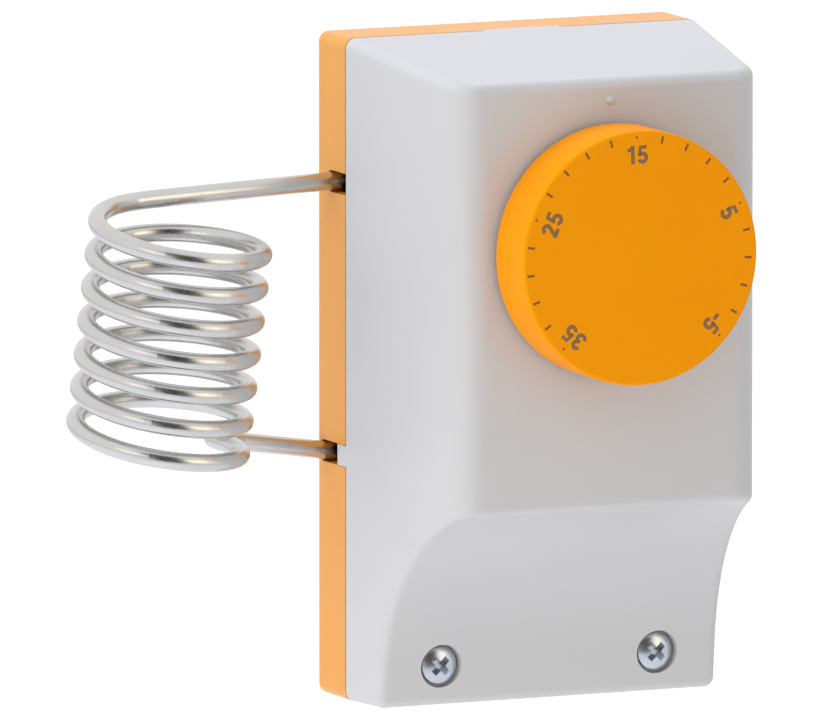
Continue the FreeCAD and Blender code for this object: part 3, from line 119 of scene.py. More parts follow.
print("middle grey card in linear light", [round(value, 3) for value in linear("#808080")])


# %% [markdown]
# ## Moulded plastic
# The tray, the cover and the dial are injection-moulded ABS. The steel mould was spark-eroded to a fine
# satin, so the skin has a very small grain that softens reflections. The colour is the same all through,
# with only a faint cloudiness where the melt flowed. The real grain of about 0.1 mm is too fine to show, so
# it is drawn at 0.45 mm, with a noise texture that drives a shallow bump. The cloudiness is a second noise
# that mixes two nearly equal colours and changes the roughness a little. The dial's mirror value is low,
# because its face keeps a full, deep orange where plain ABS would show a pale sheen.

# %% The moulded plastic finish
FLOW_CLOUD = 22 * MM
GRAIN = 0.45 * MM
GRAIN_STRENGTH = 0.5
ROUGHNESS_SPREAD = 0.04
ABS_REFRACTION = 1.5


def moulded_plastic(name, colour, cloud_colour, roughness, grain_depth, refraction=ABS_REFRACTION,
                    mirror=0.5):
    finish, tree = new_finish(name)
    place = add_node(tree, "ShaderNodeTexCoord").outputs["Object"]
    cloud = add_node(tree, "ShaderNodeTexNoise", {"Scale": 1 / FLOW_CLOUD, "Detail": 2.0}, {"Vector": place})
    tint = add_node(tree, "ShaderNodeMix", {"A": linear(colour), "B": linear(cloud_colour)},
                    {"Factor": cloud.outputs["Fac"]}, data_type="RGBA")
    grain = add_node(tree, "ShaderNodeTexNoise", {"Scale": 1 / GRAIN, "Detail": 1.0}, {"Vector": place})
    skin = add_node(tree, "ShaderNodeMapRange",
                    {"To Min": roughness - ROUGHNESS_SPREAD, "To Max": roughness + ROUGHNESS_SPREAD},
                    {"Value": cloud.outputs["Fac"]})
    bump = add_node(tree, "ShaderNodeBump", {"Strength": GRAIN_STRENGTH, "Distance": grain_depth},
                    {"Height": grain.outputs["Fac"]})
    shader = add_node(tree, "ShaderNodeBsdfPrincipled", {"IOR": refraction, "Specular IOR Level": mirror},
                      {"Base Color": tint.outputs["Result"], "Roughness": skin.outputs["Result"],
                       "Normal": bump.outputs["Normal"]})
    add_node(tree, "ShaderNodeOutputMaterial", links={"Surface": shader.outputs["BSDF"]})
    return finish


orange_tray_abs = moulded_plastic("orange_tray_moulded_abs", "#E99F3C", "#E69B36", 0.34, 0.006 * MM)
orange_dial_abs = moulded_plastic("orange_dial_moulded_abs", "#FA9C00", "#F89900", 0.42, 0.005 * MM,
                                  mirror=0.06)
grey_cover_abs = moulded_plastic("light_grey_cover_moulded_abs", "#CCCBC9", "#C8C7C6", 0.40, 0.006 * MM)
black_phenolic = moulded_plastic("black_switch_moulded_phenolic", "#1D1D1F", "#242426", 0.45, 0.010 * MM)
white_acetal = moulded_plastic("white_plunger_moulded_acetal", "#E6E3DA", "#E0DDD3", 0.38, 0.004 * MM,
                               refraction=1.48)
grommet_rubber = moulded_plastic("black_grommet_moulded_rubber", "#1B1B1B", "#232322", 0.70, 0.012 * MM,
                                 refraction=1.52)
print("plastics", 6)


# %% [markdown]
# ## Metals
# The sensor tube is drawn metal with a bright nickel skin. Drawing leaves it smooth but not a mirror, so its
# reflections are soft streaks, and handling leaves faint dull patches. The screws have bright zinc with a
# slightly blue cast, the sheet pieces a duller zinc, and the spindle and nut are turned brass. A metal shows
# mainly what stands round it, so each recipe is a colour, a roughness, how far the roughness spreads, and the
# real size of the patches over which a noise varies it.

# %% The metal finish
def bright_metal(name, colour, dull_colour, roughness, spread, patch_size):
    finish, tree = new_finish(name)
    place = add_node(tree, "ShaderNodeTexCoord").outputs["Object"]
    patches = add_node(tree, "ShaderNodeTexNoise", {"Scale": 1 / patch_size, "Detail": 3.0, "Roughness": 0.6},
                       {"Vector": place})
    tint = add_node(tree, "ShaderNodeMix", {"A": linear(colour), "B": linear(dull_colour)},
                    {"Factor": patches.outputs["Fac"]}, data_type="RGBA")
    skin = add_node(tree, "ShaderNodeMapRange", {"To Min": roughness - spread, "To Max": roughness + spread},
                    {"Value": patches.outputs["Fac"]})
    shader = add_node(tree, "ShaderNodeBsdfPrincipled", {"Metallic": 1.0},
                      {"Base Color": tint.outputs["Result"], "Roughness": skin.outputs["Result"]})
    add_node(tree, "ShaderNodeOutputMaterial", links={"Surface": shader.outputs["BSDF"]})
    return finish


tube_nickel = bright_metal("sensor_tube_drawn_nickel", "#D4D3D0", "#CAC9C6", 0.27, 0.05, 6 * MM)
screw_zinc = bright_metal("screw_bright_zinc", "#CFD6DC", "#BFC6CC", 0.30, 0.06, 1.5 * MM)
sheet_zinc = bright_metal("bracket_zinc_sheet", "#B9BBB8", "#A9ABA8", 0.38, 0.08, 5 * MM)
spring_steel = bright_metal("spring_drawn_steel", "#A9A9A6", "#8F8F8C", 0.32, 0.08, 2 * MM)
turned_brass = bright_metal("spindle_turned_brass", "#D9B45C", "#C9A24B", 0.26, 0.06, 1 * MM)
print("metals", 5)


# %% [markdown]
# ## Dress the solid pieces
# The record says which finish each piece has. A loop gives every piece the material of its finish, so that
# nothing keeps the plain colour that it was packed with, inside the housing as well.

# %% Finish by slot
FINISH_OF_SLOT = {
    "orange_plastic": orange_tray_abs, "dial_plastic": orange_dial_abs, "grey_plastic": grey_cover_abs,
    "black_plastic": black_phenolic, "white_plastic": white_acetal, "black_rubber": grommet_rubber,
    "tube_metal": tube_nickel, "zinc_steel": screw_zinc, "sheet_steel": sheet_zinc,
    "spring_steel": spring_steel, "brass": turned_brass,
}
slot_of_node = {row["node"]: row["material_slot"] for row in frame["record"]["subparts"]}
for name, node in nodes.items():
    node.data.materials.clear()
    node.data.materials.append(FINISH_OF_SLOT[slot_of_node[name]])
print("dressed", len(nodes), "pieces")


# %% [markdown]
# ## Helpers for new pieces
# New pieces are modelled flat on the ground at the origin, with the front of the thermostat pointing up, and
# are then turned upright and moved to their place. Nothing else may be selected while an operator works, and
# the turn and the move are applied, so that the finished piece's object stays at the origin.

# %% Select, seat and name a piece
MERGE_DISTANCE = 0.001 * MM


def deselect_all():
    if bpy.context.object and bpy.context.object.mode != "OBJECT":
        bpy.ops.object.mode_set(mode="OBJECT")
    bpy.ops.object.select_all(action="DESELECT")


def pick(piece):
    deselect_all()
    piece.select_set(True)
    bpy.context.view_layer.objects.active = piece


def select_points(piece, test):
    """Goes into edit mode with only those points selected that pass a test on their place."""
    pick(piece)
    bpy.ops.object.mode_set(mode="EDIT")
    bpy.ops.mesh.select_mode(type="VERT")
    bpy.ops.mesh.select_all(action="DESELECT")
    bpy.ops.object.mode_set(mode="OBJECT")
    for vertex in piece.data.vertices:
        vertex.select = test(vertex.co)
    bpy.ops.object.mode_set(mode="EDIT")


def apply_place(piece):
    pick(piece)
    bpy.ops.object.transform_apply(location=True, rotation=True, scale=True)


def seat_on_front(piece, x, y, z):
    """Turns a piece modelled face-up so that it faces the front, and moves it to its place."""
    piece.rotation_euler = (math.radians(90), 0, 0)
    piece.location = (x, y, z)
    apply_place(piece)


def join(pieces, name):
    deselect_all()
    for piece in pieces:
        piece.select_set(True)
    bpy.context.view_layer.objects.active = pieces[0]
    bpy.ops.object.join()
    joined = bpy.context.object
    joined.name = name
    joined.data.name = name
    return joined


# %% [markdown]
# ## The printed scale
# The dial is pad-printed in a thin brown ink: the numbers 35 to -5 with their tops outwards, a dot at each
# number and four short dashes between two dots. Print has almost no thickness, but as an image it would need
# a picture file, so it is modelled as a skin 0.02 mm thick that rides on the dial. The print sits a fifth of
# a millimetre up and to the left of the dial's middle, as pad prints often do.

# %% Ink and the dial's own sizes
dial_low, dial_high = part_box("dial_knob")
DIAL_FACE_Y = dial_low.y
DIAL_X = (dial_low.x + dial_high.x) / 2
DIAL_Z = (dial_low.z + dial_high.z) / 2
DIAL_RADIUS = (dial_high.x - dial_low.x) / 2
INK_THICKNESS = 0.02 * MM
INK_WEAR = 0.5 * MM
PRINT_RISE = 0.2 * MM
PRINT_DRIFT = -0.2 * MM
print("dial radius", round(DIAL_RADIUS / MM, 2), "face at", round(DIAL_FACE_Y / MM, 2))


def printed_ink(name, colour, worn_colour):
    finish, tree = new_finish(name)
    place = add_node(tree, "ShaderNodeTexCoord").outputs["Object"]
    wear = add_node(tree, "ShaderNodeTexNoise", {"Scale": 1 / INK_WEAR, "Detail": 2.0}, {"Vector": place})
    tint = add_node(tree, "ShaderNodeMix", {"A": linear(colour), "B": linear(worn_colour)},
                    {"Factor": wear.outputs["Fac"]}, data_type="RGBA")
    shader = add_node(tree, "ShaderNodeBsdfPrincipled", {"Roughness": 0.5, "IOR": 1.45},
                      {"Base Color": tint.outputs["Result"]})
    add_node(tree, "ShaderNodeOutputMaterial", links={"Surface": shader.outputs["BSDF"]})
    return finish


number_ink = printed_ink("dial_number_printed_ink", "#80603F", "#8C6842")
mark_ink = printed_ink("dial_mark_printed_ink", "#7E4A12", "#8A5212")


# %% [markdown]
# ### The numbers
# The numbers are a plain bold grotesque. Each digit is drawn as a few pen strokes: straight lines and bowls,
# which are parts of an ellipse. A stroke is a curve with a round bevel of half the pen's width. Made a mesh
# and pressed flat, it is a stroke of ink with square ends. Where two strokes cross, the later one lies a
# hair higher, because two faces in the same place would show as dark spots.

# %% Pen strokes of the digits, in millimetres above the base line
PEN_WIDTH = 0.72
DIGIT_HEIGHT = 3.5


def bowl(middle, radii, start, end):
    """Points on a part of an ellipse, every 15 degrees or so."""
    steps = max(2, round(abs(end - start) / 15))
    turns = [math.radians(start + (end - start) * step / steps) for step in range(steps + 1)]
    return [(middle[0] + radii[0] * math.cos(turn), middle[1] + radii[1] * math.sin(turn)) for turn in turns]


DIGIT_STROKES = {
    "1": [[(1.20, 0.0), (1.20, 3.5)], [(1.12, 3.18), (0.80, 2.82), (0.18, 2.60)]],
    "2": [bowl((1.04, 2.44), (0.72, 0.72), 170, -40) + [(0.38, 0.40)], [(0.14, 0.34), (1.96, 0.34)]],
    "3": [bowl((1.00, 2.46), (0.64, 0.70), 168, -84) + [(0.76, 1.79)],
          bowl((0.98, 1.07), (0.78, 0.74), 88, -166)],
    "5": [[(1.88, 3.16), (0.62, 3.16), (0.40, 1.70)] + bowl((0.99, 1.14), (0.78, 0.80), 138, -160)],
    "-": [[(0.0, 1.45), (1.4, 1.45)]],
}
DIGIT_ADVANCE = {"1": 2.2, "2": 2.5, "3": 2.5, "5": 2.5, "-": 1.6}
STROKE_LIFT = 0.08


# %% Numbers with their tops outwards
# Each number's distance from the dial's middle in millimetres, and its angle from the right side.
NUMBERS = {
    "35": (19.8, 227.0), "25": (19.4, 158.2), "15": (19.5, 91.3), "5": (20.0, 22.4), "-5": (20.2, -40.8),
}


def place_on_dial(piece, ring, angle):
    """Moves a flat mark to a ring of the dial, with its top outwards, seen face-up."""
    turn = math.radians(angle)
    piece.rotation_euler = (0, 0, turn - math.radians(90))
    piece.location = (ring * math.cos(turn) + PRINT_DRIFT, ring * math.sin(turn) + PRINT_RISE, 0)
    apply_place(piece)


def pen_curve(digits):
    """All strokes of a number as one curve with the pen's width."""
    curve = bpy.data.curves.new("number_" + digits, "CURVE")
    curve.dimensions = "3D"
    curve.bevel_depth = PEN_WIDTH / 2
    curve.bevel_resolution = 1
    curve.use_fill_caps = True
    left = 0.0
    for digit in digits:
        for order, stroke in enumerate(DIGIT_STROKES[digit]):
            spline = curve.splines.new("POLY")
            spline.points.add(len(stroke) - 1)
            for pen_point, (x, y) in zip(spline.points, stroke):
                pen_point.co = (left + x, y, STROKE_LIFT * order, 1)
        left += DIGIT_ADVANCE[digit]
    holder = bpy.data.objects.new("number_" + digits, curve)
    bpy.context.scene.collection.objects.link(holder)
    return holder


def number_print(digits, ring, angle):
    pick(pen_curve(digits))
    bpy.ops.object.convert(target="MESH")
    mark = bpy.context.object
    xs = [vertex.co.x for vertex in mark.data.vertices]
    mark.location = (-(min(xs) + max(xs)) / 2, -DIGIT_HEIGHT / 2, 0)
    apply_place(mark)
    mark.scale = (MM, MM, INK_THICKNESS / PEN_WIDTH)
    apply_place(mark)
    place_on_dial(mark, ring * MM, angle)
    return mark


number_marks = [number_print(digits, ring, angle) for digits, (ring, angle) in NUMBERS.items()]
print("numbers", [len(mark.data.vertices) for mark in number_marks])


# %% [markdown]
# The dots and dashes are a ring of 21 marks, 13.5 degrees apart. Every fifth one is a dot. Each kind is
# modelled once: the dot is a disc with a softened rim, the dash a bar with round corners, and both are copied
# round the dial.

# %% Dots and dashes
MARK_COUNT = 21
MARKS_PER_DOT = 5
FIRST_MARK = 226.5
MARK_STEP = 270.0 / (MARK_COUNT - 1)
DOT_RING = 22.8 * MM
DASH_RING = 22.55 * MM
DOT_RADIUS = 0.24 * MM
DASH_LENGTH = 1.46 * MM
DASH_WIDTH = 0.44 * MM
DOT_EDGE = INK_THICKNESS * 0.3
DASH_CORNER = DASH_WIDTH * 0.25


def dot_blank():
    deselect_all()
    bpy.ops.mesh.primitive_cylinder_add(vertices=24, radius=DOT_RADIUS, depth=INK_THICKNESS)
    dot = bpy.context.object
    bpy.ops.object.mode_set(mode="EDIT")
    bpy.ops.mesh.select_all(action="SELECT")
    bpy.ops.mesh.bevel(offset=DOT_EDGE, segments=1)
    bpy.ops.object.mode_set(mode="OBJECT")
    return dot


def dash_blank():
    deselect_all()
    bpy.ops.mesh.primitive_cube_add(size=1)
    dash = bpy.context.object
    dash.scale = (DASH_WIDTH, DASH_LENGTH, INK_THICKNESS)
    apply_place(dash)
    corner = dash.modifiers.new("round_ends", "BEVEL")
    corner.width = DASH_CORNER
    corner.segments = 3
    corner.limit_method = "ANGLE"
    pick(dash)
    bpy.ops.object.modifier_apply(modifier=corner.name)
    return dash


def copy_of(blank):
    twin = blank.copy()
    twin.data = blank.data.copy()
    bpy.context.scene.collection.objects.link(twin)
    return twin


blanks = {"dot": dot_blank(), "dash": dash_blank()}
ring_marks = []
for count in range(MARK_COUNT):
    kind, ring = ("dot", DOT_RING) if count % MARKS_PER_DOT == 0 else ("dash", DASH_RING)
    mark = copy_of(blanks[kind])
    place_on_dial(mark, ring, FIRST_MARK - MARK_STEP * count)
    ring_marks.append(mark)
for blank in blanks.values():
    bpy.data.objects.remove(blank)
print("marks", len(ring_marks))


# %% Join the print and lay it on the dial
for marks, ink in ((number_marks, number_ink), (ring_marks, mark_ink)):
    for mark in marks:
        mark.data.materials.clear()
        mark.data.materials.append(ink)
dial_print = join(number_marks + ring_marks, "dial_scale_print")
seat_on_front(dial_print, DIAL_X, DIAL_FACE_Y - INK_THICKNESS / 2, DIAL_Z)
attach(dial_print, "dial")
print("print", [round(value / MM, 2) for value in dial_print.dimensions])


# %% [markdown]
# ## The cover screws
# Two pan-head screws hold the cover. The head is a low dome on a short straight rim, with a tapered cross
# recess that was stamped in cold, and the shank has a coarse thread for plastic. The head grows from one disc
# by extruding rings and scaling them in, the recess is cut with a tapered cross, and the thread is a small
# triangle swept round by the Screw modifier. One screw is modelled and copied.

# %% Sizes of the screws from the frame
screws_low, screws_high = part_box("cover_screws")
SOLID_HEAD_RADIUS = 3.4 * MM
HEAD_RADIUS = 3.5 * MM
HEAD_HEIGHT = 2.4 * MM
SCREW_LENGTH = (screws_high.y - screws_low.y) - HEAD_HEIGHT
SHANK_RADIUS = 1.35 * MM
THREAD_RADIUS = 1.74 * MM
THREAD_PITCH = 1.25 * MM
POINT_RADIUS = 0.3 * MM
POINT_LENGTH = 2.2 * MM
HEAD_EDGE = 0.2 * MM
RIM_HEIGHT = HEAD_HEIGHT * 0.62
SCREW_Z = (screws_low.z + screws_high.z) / 2
SCREW_XS = (screws_low.x + SOLID_HEAD_RADIUS, screws_high.x - SOLID_HEAD_RADIUS)
print("screw length", round(SCREW_LENGTH / MM, 2), "at x", [round(x / MM, 2) for x in SCREW_XS])


# %% Head and shank from one disc
def grow_rings(rings):
    """Extrudes the selected end face through (radius, height) rings, each scaled about the axis."""
    radius, height = rings[0]
    for next_radius, next_height in rings[1:]:
        bpy.ops.mesh.extrude_region_move(TRANSFORM_OT_translate={"value": (0, 0, next_height - height)})
        factor = next_radius / radius
        bpy.ops.transform.resize(value=(factor, factor, 1), center_override=(0, 0, next_height))
        radius, height = next_radius, next_height


def turned_blank(rings, sides):
    deselect_all()
    bpy.ops.mesh.primitive_circle_add(vertices=sides, radius=rings[0][0], fill_type="NGON",
                                      location=(0, 0, rings[0][1]))
    blank = bpy.context.object
    apply_place(blank)
    bpy.ops.object.mode_set(mode="EDIT")
    bpy.ops.mesh.select_all(action="SELECT")
    bpy.ops.mesh.extrude_region_move(TRANSFORM_OT_translate={"value": (0, 0, 0)})
    grow_rings(rings)
    bpy.ops.mesh.select_all(action="SELECT")
    bpy.ops.mesh.remove_doubles(threshold=MERGE_DISTANCE)
    bpy.ops.mesh.normals_make_consistent(inside=False)
    bpy.ops.object.mode_set(mode="OBJECT")
    return blank


DOME_HEIGHT = HEAD_HEIGHT - RIM_HEIGHT
DOME_RADIUS = (HEAD_RADIUS ** 2 + DOME_HEIGHT ** 2) / (2 * DOME_HEIGHT)
DOME_SHARES = (0.97, 0.9, 0.8, 0.68, 0.54, 0.4, 0.26, 0.12)
dome = []
for share in DOME_SHARES:
    ring = HEAD_RADIUS * share
    dome.append((ring, HEAD_HEIGHT - DOME_RADIUS + math.sqrt(DOME_RADIUS ** 2 - ring ** 2)))
shank_rings = [(POINT_RADIUS, -SCREW_LENGTH), (SHANK_RADIUS, -SCREW_LENGTH + POINT_LENGTH), (SHANK_RADIUS, 0)]
rim_rings = [(HEAD_RADIUS - HEAD_EDGE, 0), (HEAD_RADIUS, HEAD_EDGE), (HEAD_RADIUS, RIM_HEIGHT)]
screw_blank = turned_blank(shank_rings + rim_rings + dome, sides=48)
print("screw blank", len(screw_blank.data.vertices), "points")


# %% The cross recess
RECESS_SPAN = 5.8 * MM
RECESS_WIDTH = 1.5 * MM
RECESS_DEPTH = 1.9 * MM
RECESS_TURNS = (45, 135)
RECESS_TAPER = (0.3, 0.6, 1)
CUT_OVERSHOOT = 1 * MM


def recess_bar(turn):
    """A bar that narrows downwards, one arm pair of the cross."""
    deselect_all()
    bpy.ops.mesh.primitive_cube_add(size=1, location=(0, 0, 0))
    bar = bpy.context.object
    height = RECESS_DEPTH + CUT_OVERSHOOT
    bar.scale = (RECESS_SPAN, RECESS_WIDTH, height)
    bar.location = (0, 0, HEAD_HEIGHT - RECESS_DEPTH + height / 2)
    apply_place(bar)
    select_points(bar, lambda place: place.z < HEAD_HEIGHT - RECESS_DEPTH / 2)
    bpy.ops.transform.resize(value=RECESS_TAPER, center_override=(0, 0, 0))
    bpy.ops.object.mode_set(mode="OBJECT")
    bar.rotation_euler = (0, 0, math.radians(turn))
    apply_place(bar)
    return bar


def cut(piece, cutter):
    hole = piece.modifiers.new("cut", "BOOLEAN")
    hole.operation = "DIFFERENCE"
    hole.object = cutter
    hole.solver = "EXACT"
    pick(piece)
    bpy.ops.object.modifier_apply(modifier=hole.name)
    bpy.data.objects.remove(cutter)


for turn in RECESS_TURNS:
    cut(screw_blank, recess_bar(turn))
print("screw with recess", len(screw_blank.data.vertices), "points")


# %% The thread
THREAD_TURNS = 10
THREAD_START = 1.6 * MM
ROOT_SINK = 0.2 * MM
RIDGE_SHARE = 0.3
THREAD_STEPS = 24
SMOOTH_BELOW = math.radians(32)


def thread_ridge():
    """A triangle swept down the shank by the Screw modifier, with both ends closed."""
    deselect_all()
    bpy.ops.mesh.primitive_circle_add(vertices=3, radius=1.0 * MM, fill_type="NOTHING")
    ridge = bpy.context.object
    half = THREAD_PITCH * RIDGE_SHARE
    inner = SHANK_RADIUS - ROOT_SINK
    corners = [(inner, 0, half), (THREAD_RADIUS, 0, 0), (inner, 0, -half)]
    for vertex, corner in zip(ridge.data.vertices, corners):
        vertex.co = corner
    sweep = ridge.modifiers.new("sweep", "SCREW")
    sweep.screw_offset = THREAD_PITCH
    sweep.iterations = THREAD_TURNS
    sweep.steps = THREAD_STEPS
    sweep.render_steps = THREAD_STEPS
    pick(ridge)
    bpy.ops.object.modifier_apply(modifier=sweep.name)
    bpy.ops.object.mode_set(mode="EDIT")
    bpy.ops.mesh.select_all(action="SELECT")
    bpy.ops.mesh.remove_doubles(threshold=MERGE_DISTANCE)
    bpy.ops.mesh.fill_holes(sides=4)
    bpy.ops.mesh.normals_make_consistent(inside=False)
    bpy.ops.object.mode_set(mode="OBJECT")
    ridge.location = (0, 0, -SCREW_LENGTH + THREAD_START)
    apply_place(ridge)
    return ridge


screw_model = join([screw_blank, thread_ridge()], "cover_screw")
screw_model.data.materials.append(screw_zinc)
pick(screw_model)
bpy.ops.object.shade_smooth_by_angle(angle=SMOOTH_BELOW)
print("screw", len(screw_model.data.polygons), "faces")


# %% Two screws in their recesses
SCREW_SEAT_Y = screws_low.y + HEAD_HEIGHT
cover_screws = []
for side, x in zip(("left", "right"), SCREW_XS):
    screw = copy_of(screw_model)
    screw.name = "cover_screw_" + side
    screw.data.name = screw.name
    seat_on_front(screw, x, SCREW_SEAT_Y, SCREW_Z)
    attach(screw, "housing")
    cover_screws.append(screw)
bpy.data.objects.remove(screw_model)
for screw in cover_screws:
    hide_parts("cover_screws")
print("screws", [screw.name for screw in cover_screws])


# %% [markdown]
# ## The range spring
# Inside the housing a spring of drawn steel wire stands between the nut on the dial's spindle and the lever.
# When the dial turns, the nut presses the spring's front end while its rear end stays on the lever. A piece
# that rides on one body would cut into the nut. Here a copy of the solid spring's mesh is made, its doubled
# points are merged, and the copy takes the solid spring's place unchanged, so it does not follow the nut.

# %% A merged copy of the spring in place of the solid one
spring_low, spring_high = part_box("range_spring")
range_spring = bpy.data.objects.new("range_spring_wire", nodes["range_spring"].data.copy())
bpy.context.scene.collection.objects.link(range_spring)
pick(range_spring)
bpy.ops.object.mode_set(mode="EDIT")
bpy.ops.mesh.select_all(action="SELECT")
bpy.ops.mesh.remove_doubles(threshold=MERGE_DISTANCE)
bpy.ops.object.mode_set(mode="OBJECT")
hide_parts("range_spring")
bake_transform(range_spring)
spring_length = spring_high.y - spring_low.y
print("spring", len(range_spring.data.vertices), "points, length", round(spring_length / MM, 2))


# %% [markdown]
# ## Floor and reflected studio
# The thermostat is shown as if it hung in a white studio. The floor is far enough below it that its shadow
# falls outside the frame. Bare metal would look flat if it saw only white, so three cards stand in front of
# it: a dark one gives the tube its dark streaks, a bright one on the left and a warm one on the right give it
# the light streaks beside them. They are seen only in reflections and cast no shadow.

# %% The floor
FLOOR_DROP = 0.30
FLOOR_SPAN = 40
FLOOR_GLOW = 0.45
MIRRORED_GLOW = 0.25
low_corner, high_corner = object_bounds()


def studio_white(name, glow):
    """Plain white board with a little glow to the camera, and less of that glow in reflections."""
    finish, tree = new_finish(name)
    path = add_node(tree, "ShaderNodeLightPath")
    board = add_node(tree, "ShaderNodeBsdfDiffuse", {"Color": linear("#EDEDED")})
    light = add_node(tree, "ShaderNodeEmission", {"Color": (1, 1, 1, 1), "Strength": glow})
    both = add_node(tree, "ShaderNodeAddShader")
    tree.links.new(board.outputs["BSDF"], both.inputs[0])
    tree.links.new(light.outputs["Emission"], both.inputs[1])
    mirrored = add_node(tree, "ShaderNodeMath", {1: MIRRORED_GLOW}, operation="MULTIPLY")
    tree.links.new(path.outputs["Is Glossy Ray"], mirrored.inputs[0])
    seen = add_node(tree, "ShaderNodeMath", operation="MAXIMUM")
    tree.links.new(path.outputs["Is Camera Ray"], seen.inputs[0])
    tree.links.new(mirrored.outputs["Value"], seen.inputs[1])
    mix = add_node(tree, "ShaderNodeMixShader", links={"Fac": seen.outputs["Value"]})
    tree.links.new(board.outputs["BSDF"], mix.inputs[1])
    tree.links.new(both.outputs["Shader"], mix.inputs[2])
    add_node(tree, "ShaderNodeOutputMaterial", links={"Surface": mix.outputs["Shader"]})
    return finish


deselect_all()
bpy.ops.mesh.primitive_plane_add(size=FLOOR_SPAN, location=(0, 0, low_corner.z - FLOOR_DROP))
floor = bpy.context.object
floor.name = "studio_floor"
floor.data.materials.append(studio_white("studio_floor_white", FLOOR_GLOW))
print("floor", round(FLOOR_DROP / MM), "mm below the object")


# %% The reflected cards
def card_finish(name, colour, strength):
    finish, tree = new_finish(name)
    glow = add_node(tree, "ShaderNodeEmission", {"Color": linear(colour), "Strength": strength})
    add_node(tree, "ShaderNodeOutputMaterial", links={"Surface": glow.outputs["Emission"]})
    return finish


def reflected_card(name, azimuth, elevation, distance, width, height, colour, strength=1.0):
    """A card that faces the object and is seen only in reflections."""
    direction = direction_from(azimuth, elevation)
    deselect_all()
    bpy.ops.mesh.primitive_plane_add(size=1, location=(0, 0, 0))
    card = bpy.context.object
    card.name = name
    card.scale = (width, height, 1)
    card.rotation_euler = direction.to_track_quat("Z", "Y").to_euler()
    card.location = direction * distance
    card.data.materials.append(card_finish(name, colour, strength))
    for ray in ("visible_camera", "visible_diffuse", "visible_shadow", "visible_transmission"):
        setattr(card, ray, False)


reflected_card("dark_card_front", azimuth=-10, elevation=20, distance=1.3, width=1.0, height=1.75,
               colour="#303030")
reflected_card("bright_card_left", azimuth=-52, elevation=22, distance=1.9, width=0.9, height=0.7,
               colour="#FFFFFF", strength=1.6)
reflected_card("warm_card_right", azimuth=30, elevation=16, distance=1.9, width=0.9, height=1.1,
               colour="#FFF3D8", strength=2.0)
print("cards", 3)


# %% [markdown]
# ## Light
# The photograph has plain soft light: the top is brightest, then the left side, and the front is a little
# darker. The surrounding white gives most of it. Four large soft lamps stand above, on the left and behind,
# and a small weak one below the left side lifts the shade under the edges. Each has the faint tint of the
# daylight that it stands for, and none is seen in reflections, where the cards do that work.

# %% The white surroundings
SURROUND_FILL = 0.70


def set_world(fill):
    """White to the camera and in reflections, and a softer white for the light that it gives."""
    world = bpy.data.worlds.new("white_studio")
    bpy.context.scene.world = world
    world.use_nodes = True
    tree = world.node_tree
    tree.nodes.clear()
    path = add_node(tree, "ShaderNodeLightPath")
    seen = add_node(tree, "ShaderNodeMath", operation="MAXIMUM")
    tree.links.new(path.outputs["Is Camera Ray"], seen.inputs[0])
    tree.links.new(path.outputs["Is Glossy Ray"], seen.inputs[1])
    seen_through = add_node(tree, "ShaderNodeMath", operation="MAXIMUM")
    tree.links.new(seen.outputs["Value"], seen_through.inputs[0])
    tree.links.new(path.outputs["Is Transmission Ray"], seen_through.inputs[1])
    strength = add_node(tree, "ShaderNodeMapRange", {"To Min": fill, "To Max": 1.0},
                        {"Value": seen_through.outputs["Value"]})
    white = add_node(tree, "ShaderNodeBackground", {"Color": (1, 1, 1, 1)},
                     {"Strength": strength.outputs["Result"]})
    add_node(tree, "ShaderNodeOutputWorld", links={"Surface": white.outputs["Background"]})


set_world(SURROUND_FILL)
print("world fill", SURROUND_FILL)


# %% The lamps
LAMP_DISTANCE = 2.0
LAMP_SIZE = 1.3


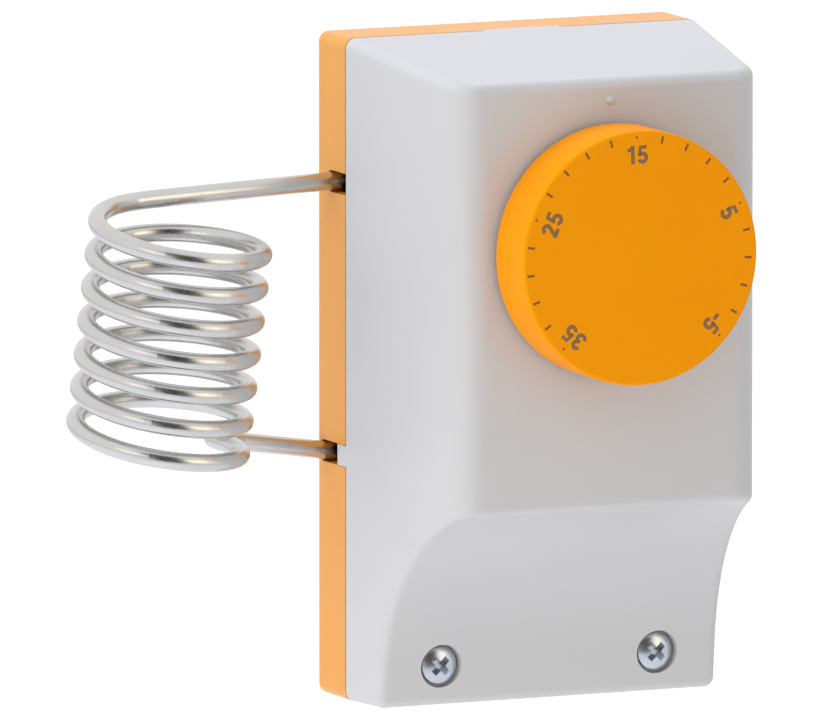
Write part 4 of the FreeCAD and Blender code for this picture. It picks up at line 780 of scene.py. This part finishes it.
def soft_lamp(name, azimuth, elevation, power, colour, distance=LAMP_DISTANCE, size=LAMP_SIZE):
    """A round soft lamp that faces the object and is seen neither directly nor in reflections."""
    direction = direction_from(azimuth, elevation)
    lamp = bpy.data.lights.new(name, "AREA")
    lamp.shape = "DISK"
    lamp.size = size
    lamp.energy = power
    lamp.color = linear(colour)[:3]
    holder = bpy.data.objects.new(name, lamp)
    bpy.context.scene.collection.objects.link(holder)
    holder.visible_camera = False
    holder.visible_glossy = False
    holder.location = direction * distance
    holder.rotation_euler = direction.to_track_quat("Z", "Y").to_euler()


soft_lamp("upper_left_lamp", azimuth=-75, elevation=48, power=6.9, colour="#F1FAFF")
soft_lamp("left_lamp", azimuth=-95, elevation=12, power=5.2, colour="#EDF4FF")
soft_lamp("top_lamp", azimuth=-10, elevation=80, power=5.1, colour="#E2F0FF")
soft_lamp("back_lamp", azimuth=-150, elevation=60, power=19.0, colour="#DADDFF")
soft_lamp("low_left_lamp", azimuth=-55, elevation=-30, power=0.63, colour="#FFF6F0", distance=0.5, size=0.4)
print("lamps", 5)


# %% [markdown]
# ## Camera
# The photograph was taken from 24 degrees to the left of the front and 8 degrees above, with a long lens, so
# that edges meant to be parallel run together only slightly. The camera looks at the point of the object that
# lies in the middle of the picture, and its lens is worked out from the picture's scale of 5.28 pixels for
# each millimetre.

# %% The photograph's camera
CAMERA_AZIMUTH = -24.1
CAMERA_ELEVATION = 7.9
CAMERA_DISTANCE = 5.0
PICTURE_WIDTH = 820
PIXELS_PER_METRE = 5284
SENSOR_WIDTH = 36
FAR_LIMIT = 100
AIM = Vector((-29.10, -26.0, 3.33)) * MM
towards = direction_from(CAMERA_AZIMUTH, CAMERA_ELEVATION)
camera_data = bpy.data.cameras.new("photo_camera")
camera_data.sensor_width = SENSOR_WIDTH
camera_data.lens = SENSOR_WIDTH * CAMERA_DISTANCE * PIXELS_PER_METRE / PICTURE_WIDTH
camera_data.clip_end = FAR_LIMIT
camera = bpy.data.objects.new("photo_camera", camera_data)
bpy.context.scene.collection.objects.link(camera)
camera.location = AIM + towards * CAMERA_DISTANCE
camera.rotation_euler = towards.to_track_quat("Z", "Y").to_euler()
bpy.context.scene.camera = camera
bpy.context.scene.view_settings.view_transform = "Standard"
print("lens", round(camera_data.lens, 1), "mm")
